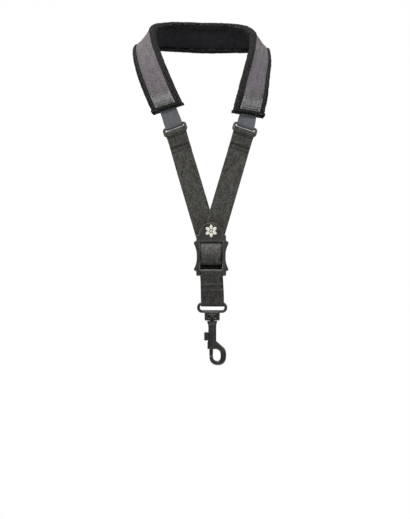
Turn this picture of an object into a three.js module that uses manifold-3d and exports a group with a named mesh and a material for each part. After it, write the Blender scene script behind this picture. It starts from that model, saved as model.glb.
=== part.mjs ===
// Saxophone neck strap: a padded neck band, two webbing legs that meet in a V, a slider that sets the
// height, and a swivelling snap hook that carries the instrument.
//
// Millimetres, +Z up, -Y to the wearer's front, +X to the right of someone facing the wearer. The origin
// is the middle of the pad's lining at the nape, where the strap rests on the neck. The strap is
// modelled as it hangs when worn: the pad runs round a neck about 112 mm wide, over both shoulders, and the
// legs follow the chest down to the slider.

import * as THREE from "three";
import { mergeVertices } from "three/addons/utils/BufferGeometryUtils.js";
import Module from "manifold-3d";

const wasm = await Module();
wasm.setup();

// ---------------------------------------------------------------- driving dimensions

const GAP = 0.3; // clearance between pieces that touch
const LOOP_GAP = 0.5; // clearance between a bar and the strap folded round it
const WEBBING_WIDTH = 25;
const WEBBING_THICKNESS = 1.4;

const PAD_WIDTH = 38;
const PAD_END_TAPE = 1.9; // how far each end tape reaches over the pad
const PATCH_LENGTH = 17; // sewn patch on the band at each end of the pad
const PAD_STEPS = 52;

// Heights of the pad's layers above its lining, which lies on the neck at height 0.
const LINING = { low: 0, high: 0.9 };
const FOAM = { low: 1.3, high: 4.3 };
const COVER = { low: 4.7, high: 5.5 };
const BAND = { low: 5.9, high: 7.1 };
const TAPE_THICKNESS = 1.2;

const TAB_WIDTH = 20;
const TAB_THICKNESS = 1.3;

const RING = { width: 29.4, height: 11, bar: 2.8, side: 2.2, depth: 3, corner: 3 };

// Middle planes, from left to right: the strap hangs a little towards the wearer's left.
const V_X = 7.7; // between the two rings, and between the two legs
const HANG_X = 9; // the slider
const HOOK_X = 10.1; // the swivel eye and the hook

const RING_TOP = { spread: 40.8, y: -134, z: -120 }; // middle of the bar that the tab folds round
const RING_FOOT = { spread: 38.6, y: -135.6, z: -127.8 }; // middle of the bar that the leg folds round
const LEG_WIDTH = 24;
const LEG_RETURN = 25; // length of the leg's end that is folded back and sewn
const LEG_FOOT = { spread: 3.3, z: -247 }; // where the legs end, behind the slider's top bar
const LEG_FOOT_Y = { left: -161.2, right: -163.6 }; // the right leg lies over the left one

const SLIDER = {
  z: -268, // middle of the window
  front: -168.5,
  plate: 2.6,
  topBar: 23.4, // heights above the middle of the window
  crest: 37.4,
  foot: -22.5,
  window: { width: 26.2, top: 15.6 }, // open at its foot, where the foot bar crosses behind it
  cheek: { inner: 13.3, outer: 16.2, back: -157.4, top: 15.2, bottom: -20 },
  crossBar: { front: -163.9, back: -159.9, top: 5, foot: -5, corner: 1.6 }, // the strap runs over it
  footBar: { front: -166.5, back: -163.9, top: -16.7, foot: -21.9, corner: 1.29 }, // holds the strap's end
};
const BADGE = { z: 27.8, radius: 5.2, petal: 1.6, petals: 6, thickness: 0.9, recess: 0.7 };

const HOOK_Y = -162.5; // middle plane of the swivel eye and the hook
const EYE = { width: 34, height: 12.2, corner: 5.8, wire: 3.4, openingCorner: 1.5, z: -325.8 };
const YOKE = {
  width: 17,
  depth: 7,
  top: -331,
  foot: -340.3,
  floor: 2.8,
  windowWidth: 9,
  windowTaper: 0.8, // how much narrower each side is at the window's top
  windowTop: -333.2,
};
const POST = { radius: 2.1, hole: 2.5, headFoot: 4.15, headTop: 3.2, headHeight: 3.3 };

const BARREL = { radius: 4.7, top: -340.8, foot: -372.3 };
const HOOK_DEPTH = 6.6;
const BORE = { offset: -1.1, radius: 2.5, top: -342.6 };
const SLOT = { width: 2.8, top: -344, foot: -364.2 };
const BOLT = { radius: 2.1, top: -356.4, foot: -379.5 };
const HOOK_TIP = -379.9; // upper face of the hook's tip, which the bolt meets
const THUMB = { top: -353.4, foot: -362.6, in: 3.6, out: 9.2, halfDepth: 3.4, stem: 2 };
const SPRING = { radius: 1.75, wire: 0.5, turns: 6 };

const COLOURS = {
  lining: 0x1d1e20,
  foam: 0x2b2c2e,
  black: 0x17181a,
  grey: 0x6f6c6d,
  slate: 0x63676c,
  webbing: 0x3a3835,
  plastic: 0x2c2c2b,
  cream: 0xd9d6c6,
  steel: 0xb8bbc0,
};

// ---------------------------------------------------------------- routes

const vec = (x, y, z) => new THREE.Vector3(x, y, z);

// A route is a centre line with a direction across it. Its own frame has s along the line, v across and n
// out of the strap's face, which is along x across.
class Route {
  constructor(stations) {
    this.centre = new THREE.CatmullRomCurve3(stations.map((one) => one.at), false, "centripetal");
    this.sideways = new THREE.CatmullRomCurve3(stations.map((one) => one.across), false, "catmullrom");
    this.centre.arcLengthDivisions = 400;
    this.length = this.centre.getLength();
  }

  frame(s) {
    const u = Math.min(Math.max(s / this.length, 0), 1);
    const t = this.centre.getUtoTmapping(u);
    const along = this.centre.getTangent(t);
    const point = this.centre.getPoint(t).addScaledVector(along, s - u * this.length);
    const across = this.sideways.getPoint(t).normalize();
    const out = new THREE.Vector3().crossVectors(along, across).normalize();
    return { point, along, across, out };
  }

  place(s, v, n) {
    const { point, across, out } = this.frame(s);
    return point.addScaledVector(across, v).addScaledVector(out, n);
  }
}

// Stations of the pad, from its end on the left round the nape to its end on the right: the edge that
// lies against the neck, then the edge that lies on the shoulder.
const PAD_STATIONS = [
  [vec(-21, -135.4, -95), vec(-57, -120.6, -105.4)],
  [vec(-30.5, -123.5, -76), vec(-66, -109.5, -84.4)],
  [vec(-39.3, -109.5, -54.5), vec(-74.7, -94, -61.5)],
  [vec(-47, -94, -34.5), vec(-80.5, -74, -39)],
  [vec(-53, -76, -13.5), vec(-80.5, -48, -22.5)],
  [vec(-55, -54, 5.5), vec(-73, -26, -20)],
  [vec(-44, -29, 14.5), vec(-59, -6, -18)],
  [vec(-22, -13, 18.5), vec(-28, 6, -17.5)],
  [vec(0, -9, 18), vec(0, 9, -18)],
  [vec(22, -13, 17), vec(28, 6, -18.5)],
  [vec(44, -29, 11), vec(59, -6, -20.5)],
  [vec(54.5, -54, -1.5), vec(72, -26, -24.5)],
  [vec(54.5, -76, -19.5), vec(75, -46, -24.5)],
  [vec(50.5, -95.5, -37), vec(76.8, -69, -40)],
  [vec(44.5, -111.5, -59), vec(75, -89, -60.5)],
  [vec(38.5, -124.5, -81), vec(73, -107.5, -84)],
  [vec(31.5, -135.4, -104), vec(68.5, -120.5, -109)],
];

const padRoute = new Route(
  PAD_STATIONS.map(([neck, shoulder]) => ({
    at: neck.clone().add(shoulder).multiplyScalar(0.5),
    across: shoulder.clone().sub(neck).normalize(),
  })),
);

// side is -1 for the leg on the left and 1 for the leg on the right.
const SIDES = { left: -1, right: 1 };
const hangPoint = (side, { spread, y, z }) => vec(V_X + side * spread, y, z);

// How each side's ring turns back from the front, round the chest.
const RING_TURN = { left: THREE.MathUtils.degToRad(20), right: THREE.MathUtils.degToRad(-14) };

// Direction across a strap that runs along a given line, turned about the vertical.
function acrossOf(along, turn) {
  const flat = vec(Math.cos(turn), Math.sin(-turn), 0);
  return flat.addScaledVector(along, -flat.dot(along)).normalize();
}

function ringFrame(name) {
  const side = SIDES[name];
  const top = hangPoint(side, RING_TOP);
  const foot = hangPoint(side, RING_FOOT);
  const along = foot.clone().sub(top).normalize();
  const across = acrossOf(along, RING_TURN[name]);
  return { top, foot, along, across, out: new THREE.Vector3().crossVectors(along, across) };
}

// From the pad's end to the middle of the ring's upper bar.
function tabRoute(name) {
  const start = name === "left" ? -PAD_GAP : padRoute.length + PAD_GAP;
  const from = padRoute.place(start, 0, (FOAM.low + FOAM.high) / 2);
  const padAcross = padRoute.frame(start).across;
  const ring = ringFrame(name);
  const across = padAcross.multiplyScalar(name === "left" ? -1 : 1);
  return new Route(
    [0, 0.4, 0.75, 1].map((share) => ({
      at: from.clone().lerp(ring.top, share),
      across: across.clone().lerp(ring.across, share),
    })),
  );
}

// From the middle of the ring's lower bar to the leg's end behind the slider.
function legRoute(name) {
  const side = SIDES[name];
  const ring = ringFrame(name);
  const foot = vec(V_X + side * LEG_FOOT.spread, LEG_FOOT_Y[name], LEG_FOOT.z);
  const run = foot.clone().sub(ring.foot);
  // The leg rests on the chest, so it gains its distance forward sooner than its distance down.
  const station = (down, forward, turned) => ({
    at: ring.foot.clone().add(vec(run.x * down, run.y * forward, run.z * down)),
    across: acrossOf(vec(run.x, forward < 1 ? run.y : 0, run.z).normalize(), RING_TURN[name] * (1 - turned)),
  });
  return new Route([
    { at: ring.foot, across: ring.across },
    station(0.12, 0.15, 0.1),
    station(0.35, 0.44, 0.5),
    station(0.62, 0.77, 1),
    station(0.87, 1, 1),
    station(1, 1, 1),
  ]);
}

// The adjusting strap runs down through the middle of the slider to the middle of the swivel eye.
const STRAP_LEAN = (HOOK_X - HANG_X) / (SLIDER.z - EYE.z);
const plumbRoute = new Route(
  [0, -200, -400].map((z) => ({
    at: vec(HANG_X + STRAP_LEAN * (SLIDER.z - z), HOOK_Y, z),
    across: vec(1, 0, 0),
  })),
);

// ---------------------------------------------------------------- shapes

function roundedBox(width, height, radius, Kind = THREE.Shape) {
  const x = width / 2 - radius;
  const y = height / 2 - radius;
  const shape = new Kind();
  shape.absarc(x, y, radius, 0, Math.PI / 2);
  shape.absarc(-x, y, radius, Math.PI / 2, Math.PI);
  shape.absarc(-x, -y, radius, Math.PI, 1.5 * Math.PI);
  shape.absarc(x, -y, radius, 1.5 * Math.PI, 2 * Math.PI);
  return shape;
}

// A flat layer's section, with points across it so that stacked layers bend alike.
const LAYER_STOPS = [-12.5, -6.5, 0, 6.5, 12.5];

function layerSection(halfWidth, { low, high }, inside = LAYER_STOPS) {
  const stops = [-halfWidth, ...inside.filter((v) => Math.abs(v) < halfWidth - 1), halfWidth];
  return new THREE.Shape([
    ...stops.map((v) => new THREE.Vector2(v, low)),
    ...stops.reverse().map((v) => new THREE.Vector2(v, high)),
  ]);
}

// ---------------------------------------------------------------- solids

// Moves each vertex from a flat shape's own x, y, z to where a route puts it.
function bend(geometry, placed) {
  const position = geometry.getAttribute("position");
  for (let i = 0; i < position.count; i++) {
    const { x, y, z } = placed(position.getX(i), position.getY(i), position.getZ(i));
    position.setXYZ(i, x, y, z);
  }
  geometry.computeVertexNormals();
  return geometry;
}

// Each wall of an extrusion is split into triangles a-b-d and b-c-d. Splitting the walls that face down
// the other way makes a layer's underside twist exactly like the top of the layer below it.
function matchUndersides(geometry) {
  const position = geometry.getAttribute("position");
  const normal = geometry.getAttribute("normal");
  const walls = geometry.groups[1];
  const copy = (from, to) => {
    position.setXYZ(to, position.getX(from), position.getY(from), position.getZ(from));
  };
  for (let first = walls.start; first < walls.start + walls.count; first += 6) {
    if (normal.getY(first) > -0.5) continue;
    copy(first + 4, first + 2);
    copy(first, first + 3);
  }
  return geometry;
}

// A section drawn in v and n, carried along a route from s0 to s1.
function sweep(section, route, s0, s1, steps) {
  const geometry = new THREE.ExtrudeGeometry(section, { depth: s1 - s0, steps, bevelEnabled: false });
  return bend(matchUndersides(geometry), (v, n, s) => route.place(s0 + s, v, n));
}

// A strap whose middle follows a path drawn in n and s, seen from the side, with mitred corners.
function ribbon(path, route, width, thickness, inside = [0]) {
  const middle = path.getPoints(6);
  const last = middle.length - 1;
  const direction = (i) => middle[i + 1].clone().sub(middle[i]).normalize();
  const mitres = middle.map((_, i) => {
    const after = direction(Math.min(i, last - 1));
    const along = direction(Math.max(i - 1, 0)).add(after).normalize();
    return new THREE.Vector2(along.y, -along.x).divideScalar(along.dot(after));
  });
  const section = layerSection(width / 2, { low: -thickness / 2, high: thickness / 2 }, inside);
  const geometry = new THREE.ExtrudeGeometry(section, { depth: last, steps: last, bevelEnabled: false });
  return bend(geometry, (v, height, step) => {
    const i = Math.round(step);
    const at = mitres[i].clone().multiplyScalar(height).add(middle[i]);
    return route.place(at.y, v, at.x);
  });
}

// An outline drawn in x and z and extruded from y0 (front) to y1 (back), moved by x and z.
function slab(shape, y0, y1, x = 0, z = 0, bevel = 0, curveSegments = 8) {
  const geometry = new THREE.ExtrudeGeometry(shape, {
    depth: y1 - y0 - 2 * bevel,
    bevelEnabled: bevel > 0,
    bevelThickness: bevel,
    bevelSize: bevel,
    bevelOffset: -bevel,
    bevelSegments: 2,
    curveSegments,
  });
  return geometry.rotateX(Math.PI / 2).translate(x, y1 - bevel, z);
}

function uprightCylinder(radius, low, high, x, y, segments = 24) {
  const geometry = new THREE.CylinderGeometry(radius, radius, high - low, segments);
  return geometry.rotateX(Math.PI / 2).translate(x, y, (low + high) / 2);
}

function block(x0, x1, y0, y1, z0, z1) {
  const geometry = new THREE.BoxGeometry(x1 - x0, y1 - y0, z1 - z0);
  return geometry.translate((x0 + x1) / 2, (y0 + y1) / 2, (z0 + z1) / 2);
}

function toSolid(geometry) {
  const bare = geometry.clone();
  bare.deleteAttribute("normal");
  bare.deleteAttribute("uv");
  const merged = mergeVertices(bare, 1e-4);
  return new wasm.Manifold(
    new wasm.Mesh({
      numProp: 3,
      vertProperties: merged.getAttribute("position").array,
      triVerts: new Uint32Array(merged.index.array),
    }),
  );
}

function toGeometry(solid) {
  const mesh = solid.getMesh();
  const geometry = new THREE.BufferGeometry();
  geometry.setAttribute("position", new THREE.BufferAttribute(mesh.vertProperties, 3));
  geometry.setIndex(new THREE.BufferAttribute(mesh.triVerts, 1));
  geometry.computeVertexNormals();
  return geometry;
}

const join = (...geometries) => geometries.map(toSolid).reduce((whole, one) => whole.add(one));

function cut(solid, ...geometries) {
  return geometries.map(toSolid).reduce((whole, one) => whole.subtract(one), solid);
}

// ---------------------------------------------------------------- assembly

const strap = new THREE.Group();

function addPiece(name, geometry, colour, roughness, metalness = 0) {
  const material = new THREE.MeshStandardMaterial({ color: colour, roughness, metalness });
  const mesh = new THREE.Mesh(geometry, material);
  mesh.name = name;
  strap.add(mesh);
}

// ---------------------------------------------------------------- neck pad

const STACK_HALF = PAD_WIDTH / 2 - TAPE_THICKNESS - 2 * GAP;
const PAD_GAP = GAP + TAPE_THICKNESS + 1.2; // from the pad's layers to the tab, past the end tape

function addPadLayers() {
  const layers = [
    ["pad_lining", STACK_HALF, LINING, COLOURS.lining],
    ["pad_foam", STACK_HALF, FOAM, COLOURS.foam],
    ["pad_cover", STACK_HALF, COVER, COLOURS.black],
    ["pad_band", WEBBING_WIDTH / 2, BAND, COLOURS.grey],
  ];
  for (const [name, halfWidth, heights, colour] of layers) {
    const section = layerSection(halfWidth, heights);
    addPiece(name, sweep(section, padRoute, 0, padRoute.length, PAD_STEPS), colour, 0.95);
  }
}

// The tape's section over one edge: side is -1 on the neck side and 1 on the shoulder side.
function edgeTapeSection(side) {
  const inner = WEBBING_WIDTH / 2 + GAP;
  const outer = PAD_WIDTH / 2;
  const low = LINING.low - GAP;
  const high = COVER.high + GAP;
  const t = TAPE_THICKNESS;
  const corners = [
    [inner, high],
    [outer - t, high],
    [outer - t, low],
    [inner, low],
    [inner, low - t],
    [outer - t, low - t],
    [outer, low + t / 2],
    [outer, high - t / 2],
    [outer - t, high + t],
    [inner, high + t],
  ].map(([v, n]) => new THREE.Vector2(side * v, n));
  return new THREE.Shape(side > 0 ? corners : corners.reverse());
}

function addEdgeTapes() {
  const tapes = { pad_binding_neck: -1, pad_binding_shoulder: 1 };
  for (const [name, side] of Object.entries(tapes)) {
    addPiece(name, sweep(edgeTapeSection(side), padRoute, 0, padRoute.length, PAD_STEPS), COLOURS.black, 1);
  }
}

// The end tape folds over the pad's end, above the band and below the edge tapes.
function addEndTapes() {
  const t = TAPE_THICKNESS;
  const top = BAND.high + GAP + t / 2;
  const bottom = LINING.low - 2 * GAP - 1.5 * t;
  const turn = 1.2;
  for (const name of Object.keys(SIDES)) {
    const s = (inward) => (name === "left" ? inward : padRoute.length - inward);
    const end = s(-GAP - t / 2);
    const path = new THREE.Path();
    path.moveTo(top, s(PAD_END_TAPE));
    path.lineTo(top, s(t / 2));
    path.quadraticCurveTo(top, end, top - turn, end);
    path.lineTo(bottom + turn, end);
    path.quadraticCurveTo(bottom, end, bottom, s(t / 2));
    path.lineTo(bottom, s(PAD_END_TAPE));
    const tape = ribbon(path, padRoute, PAD_WIDTH + 1.6, t, LAYER_STOPS);
    addPiece(`pad_end_tape_${name}`, tape, COLOURS.black, 1);
  }
}

function addEndPatches() {
  const first = PAD_END_TAPE + GAP;
  for (const name of Object.keys(SIDES)) {
    const start = name === "left" ? first : padRoute.length - first - PATCH_LENGTH;
    const heights = { low: BAND.high + GAP, high: BAND.high + GAP + 1 };
    const section = layerSection(WEBBING_WIDTH / 2, heights);
    const patch = sweep(section, padRoute, start, start + PATCH_LENGTH, 3);
    addPiece(`pad_patch_${name}`, patch, COLOURS.grey, 0.95);
  }
}

// ---------------------------------------------------------------- tabs, rings and legs

// The tab leaves the pad, folds round the ring's upper bar and runs back to the pad behind itself.
function addTabs() {
  const loop = RING.depth / 2 + LOOP_GAP + TAB_THICKNESS / 2;
  const flat = TAB_THICKNESS / 2 + GAP / 2;
  for (const name of Object.keys(SIDES)) {
    const route = tabRoute(name);
    const path = new THREE.Path();
    path.moveTo(flat, 0);
    path.bezierCurveTo(flat, route.length * 0.4, loop, route.length * 0.5, loop, route.length);
    path.absarc(0, route.length, loop, 0, Math.PI);
    path.bezierCurveTo(-loop, route.length * 0.5, -flat, route.length * 0.4, -flat, 0);
    addPiece(`tab_${name}`, ribbon(path, route, TAB_WIDTH, TAB_THICKNESS), COLOURS.slate, 0.6);
  }
}

function addRings() {
  for (const name of Object.keys(SIDES)) {
    const frame = ringFrame(name);
    const shape = roundedBox(RING.width, RING.height, RING.corner);
    const hole = [RING.width - 2 * RING.side, RING.height - 2 * RING.bar, 0.8];
    shape.holes.push(roundedBox(...hole, THREE.Path));
    const ring = new THREE.ExtrudeGeometry(shape, {
      depth: RING.depth - 1.4,
      bevelThickness: 0.7,
      bevelSize: 0.7,
      bevelOffset: -0.7,
      bevelSegments: 2,
      curveSegments: 3,
    }).translate(0, 0, 0.7 - RING.depth / 2);
    const middle = frame.top.clone().add(frame.foot).multiplyScalar(0.5);
    const up = frame.along.clone().negate();
    ring.applyMatrix4(new THREE.Matrix4().makeBasis(frame.across, up, frame.out).setPosition(middle));
    addPiece(`ring_${name}`, ring, COLOURS.plastic, 0.45);
  }
}

// The leg runs up its face, over the ring's lower bar and down again behind itself, where it is sewn.
function addLegs() {
  const loop = RING.depth / 2 + LOOP_GAP + WEBBING_THICKNESS / 2;
  const behind = -WEBBING_THICKNESS - GAP;
  for (const name of Object.keys(SIDES)) {
    const route = legRoute(name);
    const path = new THREE.Path();
    path.moveTo(0, route.length);
    for (let s = route.length - 10; s > LEG_RETURN; s -= 11) path.lineTo(0, s);
    path.lineTo(0, 14);
    path.bezierCurveTo(0, 8, loop, 6, loop, 0);
    path.absarc(0, 0, loop, 0, -Math.PI, true);
    path.bezierCurveTo(-loop, 5, behind, 7, behind, 12);
    path.lineTo(behind, LEG_RETURN);
    addPiece(`leg_${name}`, ribbon(path, route, LEG_WIDTH, WEBBING_THICKNESS), COLOURS.webbing, 0.85);
  }
}

// ---------------------------------------------------------------- slider

function sliderOutline() {
  const { topBar, crest, foot } = SLIDER;
  const outline = new THREE.Shape();
  outline.moveTo(-16.8, foot + 1.5);
  outline.quadraticCurveTo(-16.8, foot, -15.3, foot);
  outline.lineTo(15.3, foot);
  outline.quadraticCurveTo(16.8, foot, 16.8, foot + 1.5);
  outline.lineTo(16.8, -17);
  outline.lineTo(19.2, -16.6);
  outline.quadraticCurveTo(20.2, -15.4, 19.3, -13.2);
  outline.bezierCurveTo(17, -9, 16.2, -5, 16.2, 0);
  outline.bezierCurveTo(16.2, 5, 17, 8.4, 19.2, 11.6);
  outline.quadraticCurveTo(20.6, 14.4, 19.4, 15.8);
  outline.lineTo(16.6, 16.6);
  outline.lineTo(16.6, topBar);
  outline.lineTo(13.6, topBar);
  outline.absellipse(0, topBar, 13.6, crest - topBar, 0, Math.PI, false);
  outline.lineTo(-16.6, topBar);
  outline.lineTo(-16.6, 16.6);
  outline.lineTo(-19.4, 15.8);
  outline.quadraticCurveTo(-20.6, 14.4, -19.2, 11.6);
  outline.bezierCurveTo(-17, 8.4, -16.2, 5, -16.2, 0);
  outline.bezierCurveTo(-16.2, -5, -17, -9, -19.3, -13.2);
  outline.quadraticCurveTo(-20.2, -15.4, -19.2, -16.6);
  outline.lineTo(-16.8, -17);
  return outline;
}

function badgeShape(grow = 0) {
  const points = 60;
  const outline = [...Array(points).keys()].map((i) => {
    const angle = (2 * Math.PI * i) / points;
    const radius = BADGE.radius + grow + BADGE.petal * Math.cos(BADGE.petals * (angle - Math.PI / 2));
    return new THREE.Vector2(radius * Math.cos(angle), radius * Math.sin(angle));
  });
  return new THREE.Shape(outline);
}

// A level bar between the slider's cheeks.
function sliderBar({ front, back, top, foot, corner }, halfLength) {
  const section = roundedBox(back - front, top - foot, corner);
  const options = { depth: 2 * halfLength, bevelEnabled: false, curveSegments: 4 };
  return new THREE.ExtrudeGeometry(section, options)
    .rotateZ(Math.PI / 2)
    .rotateY(Math.PI / 2)
    .translate(HANG_X - halfLength, (front + back) / 2, SLIDER.z + (top + foot) / 2);
}

function addSlider() {
  const { z, front, plate, window, cheek, crossBar, footBar } = SLIDER;
  const outline = sliderOutline();
  const face = slab(outline, front, front + plate, HANG_X, z, 0, 6);
  const opening = block(
    HANG_X - window.width / 2,
    HANG_X + window.width / 2,
    front - 1,
    front + plate + 1,
    z + SLIDER.foot - 1,
    z + window.top,
  );
  const plateWithWindow = toGeometry(cut(toSolid(face), opening));
  const cheeks = [-1, 1].map((side) => {
    const [inner, outer] = [side * cheek.inner, side * cheek.outer].sort((a, b) => a - b);
    return block(HANG_X + inner, HANG_X + outer, front + 1, cheek.back, z + cheek.bottom, z + cheek.top);
  });
  const bars = [crossBar, footBar].map((bar) => sliderBar(bar, cheek.inner + 0.7));
  const recess = slab(badgeShape(GAP), front - 1, front + BADGE.recess, HANG_X, z + BADGE.z);
  addPiece("slider_frame", toGeometry(cut(join(plateWithWindow, ...cheeks, ...bars), recess)), COLOURS.plastic, 0.5);

  const badgeBack = front + BADGE.recess - GAP;
  const badge = slab(badgeShape(), badgeBack - BADGE.thickness, badgeBack, HANG_X, z + BADGE.z);
  addPiece("slider_badge", badge, COLOURS.cream, 0.4, 0.3);
}

// The adjusting strap starts behind the legs, where it is sewn to them. It runs over the slider's cross bar
// and behind its foot bar, down round the swivel eye, and up the front to the foot bar, where its end is
// folded over the bar and sewn behind its face. It is one strap, divided where its lengths move differently.
const outFromPlumb = (y) => HOOK_Y - y;
const STRAP_DIVIDE = 297; // below the foot bar
const SEWN_END = 306.4;
const LAYER = WEBBING_THICKNESS + GAP;
const BEHIND_BAR = outFromPlumb(SLIDER.footBar.back) - GAP - LAYER - WEBBING_THICKNESS / 2; // two layers back
const EYE_BAR = -EYE.z - (EYE.height - EYE.wire) / 2;
const EYE_LOOP = EYE.wire / 2 + LOOP_GAP + WEBBING_THICKNESS / 2;

function addUpperStrap() {
  const { z, crossBar } = SLIDER;
  const lap = outFromPlumb(LEG_FOOT_Y.left) - WEBBING_THICKNESS - GAP;
  const overBar = outFromPlumb(crossBar.front) + WEBBING_THICKNESS / 2 + GAP;
  const path = new THREE.Path();
  path.moveTo(lap, 237);
  path.lineTo(lap, 248);
  path.bezierCurveTo(lap, 255, overBar, -z - 13, overBar, -z - 6);
  path.lineTo(overBar, -z + 5.5);
  path.bezierCurveTo(overBar, -z + 11, BEHIND_BAR, -z + 7, BEHIND_BAR, -z + 13);
  path.lineTo(BEHIND_BAR, STRAP_DIVIDE);
  const strip = ribbon(path, plumbRoute, WEBBING_WIDTH, WEBBING_THICKNESS, []);
  addPiece("strap_upper", strip, COLOURS.webbing, 0.85);
}

// How far out the strap's front length lies, on its straight line from the foot bar to the eye.
function frontLength(s) {
  const start = -SLIDER.z - SLIDER.footBar.foot;
  const out = outFromPlumb(SLIDER.footBar.front) + GAP + WEBBING_THICKNESS / 2;
  return THREE.MathUtils.mapLinear(s, start, EYE_BAR, out, EYE_LOOP);
}

// The strap's end: from behind the foot bar, over its top and down the strap's front.
function addStrapEnd() {
  const { z, footBar } = SLIDER;
  const start = -z - footBar.foot;
  const radius = (footBar.back - footBar.front) / 2 + GAP + WEBBING_THICKNESS / 2;
  const middle = outFromPlumb((footBar.front + footBar.back) / 2);
  const turn = -z - footBar.top + (footBar.back - footBar.front) / 2;
  const path = new THREE.Path();
  path.moveTo(frontLength(SEWN_END) - LAYER, SEWN_END);
  path.lineTo(frontLength(start + 6) - LAYER, start + 6);
  path.bezierCurveTo(middle, start + 3, middle - radius, start + 3.5, middle - radius, start);
  path.lineTo(middle - radius, turn);
  path.absarc(middle, turn, radius, Math.PI, 2 * Math.PI);
  path.lineTo(middle + radius, start);
  path.lineTo(frontLength(SEWN_END), SEWN_END);
  const strip = ribbon(path, plumbRoute, WEBBING_WIDTH, WEBBING_THICKNESS, []);
  addPiece("strap_end", strip, COLOURS.webbing, 0.85);
}

// The loop round the swivel eye, which rides up the strap as the slider comes down.
function addStrapFold() {
  const start = SEWN_END + GAP;
  const path = new THREE.Path();
  path.moveTo(frontLength(start), start);
  path.lineTo(EYE_LOOP, EYE_BAR);
  path.absarc(0, EYE_BAR, EYE_LOOP, 0, Math.PI);
  path.lineTo(BEHIND_BAR, STRAP_DIVIDE + 2 + GAP);
  path.lineTo(BEHIND_BAR, STRAP_DIVIDE + GAP);
  const strip = ribbon(path, plumbRoute, WEBBING_WIDTH, WEBBING_THICKNESS, []);
  addPiece("strap_fold", strip, COLOURS.webbing, 0.85);
}

// ---------------------------------------------------------------- swivel eye and snap hook

function addEye() {
  const shape = roundedBox(EYE.width, EYE.height, EYE.corner);
  const inner = [EYE.width - 2 * EYE.wire, EYE.height - 2 * EYE.wire];
  shape.holes.push(roundedBox(...inner, EYE.openingCorner, THREE.Path));
  const ring = slab(shape, HOOK_Y - EYE.wire / 2, HOOK_Y + EYE.wire / 2, HOOK_X, EYE.z, 0.9, 5);
  const [left, right] = [HOOK_X - YOKE.width / 2, HOOK_X + YOKE.width / 2];
  const [front, back] = [HOOK_Y - YOKE.depth / 2, HOOK_Y + YOKE.depth / 2];
  const body = block(left, right, front, back, YOKE.foot, YOKE.top);
  const [windowLeft, windowRight] = [HOOK_X - YOKE.windowWidth / 2, HOOK_X + YOKE.windowWidth / 2];
  const floor = YOKE.foot + YOKE.floor;
  const opening = new THREE.Shape();
  opening.moveTo(windowLeft, floor);
  opening.lineTo(windowRight, floor);
  opening.lineTo(windowRight - YOKE.windowTaper, YOKE.windowTop);
  opening.lineTo(windowLeft + YOKE.windowTaper, YOKE.windowTop);
  const window = slab(opening, front - 1, back + 1);
  const hole = uprightCylinder(POST.hole, YOKE.foot - 1, floor + 1, HOOK_X, HOOK_Y);
  addPiece("swivel_eye", toGeometry(cut(join(ring, body), window, hole)), COLOURS.plastic, 0.45);
}

// The hook's outline, in x from the barrel's axis and in z.
function hookOutline() {
  const outline = new THREE.Shape();
  outline.moveTo(-5.3, -364.6);
  outline.lineTo(-5.3, BARREL.foot);
  outline.lineTo(2, BARREL.foot);
  outline.lineTo(5, BARREL.foot);
  outline.bezierCurveTo(7.6, -373.2, 9.4, -375.2, 9.5, -378);
  outline.bezierCurveTo(9.6, -382, 9.6, -385.4, 6.6, -385.6);
  outline.lineTo(3, -385.6);
  outline.bezierCurveTo(1.6, -385, 1, -383, 0.9, HOOK_TIP);
  outline.lineTo(-3.1, HOOK_TIP);
  outline.bezierCurveTo(-3.2, -386.4, 0.6, -390.4, 5.6, -390.4);
  outline.bezierCurveTo(12.6, -390.2, 15.8, -385.6, 15.8, -379);
  outline.bezierCurveTo(15.8, -374.2, 14.8, -372.2, 12.6, -370.6);
  outline.lineTo(4.5, -363.4);
  outline.lineTo(3, -360);
  outline.lineTo(-3, -360);
  return outline;
}

function addHookBody() {
  const postTop = YOKE.foot + YOKE.floor + 2 * GAP;
  const boreX = HOOK_X + BORE.offset;
  const barrel = uprightCylinder(BARREL.radius, BARREL.foot, BARREL.top, HOOK_X, HOOK_Y, 32);
  const hook = slab(hookOutline(), HOOK_Y - HOOK_DEPTH / 2, HOOK_Y + HOOK_DEPTH / 2, HOOK_X, 0, 0.9, 7);
  const post = uprightCylinder(POST.radius, BARREL.top - 1, postTop + 0.5, HOOK_X, HOOK_Y);
  const head = new THREE.CylinderGeometry(POST.headTop, POST.headFoot, POST.headHeight, 24)
    .rotateX(Math.PI / 2)
    .translate(HOOK_X, HOOK_Y, postTop + POST.headHeight / 2);
  const bore = uprightCylinder(BORE.radius, BARREL.foot - 1, BORE.top, boreX, HOOK_Y);
  const slot = block(
    HOOK_X - 10,
    boreX,
    HOOK_Y - SLOT.width / 2,
    HOOK_Y + SLOT.width / 2,
    SLOT.foot,
    SLOT.top,
  );
  addPiece("hook_body", toGeometry(cut(join(barrel, hook, post, head), bore, slot)), COLOURS.plastic, 0.45);
}

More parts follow.
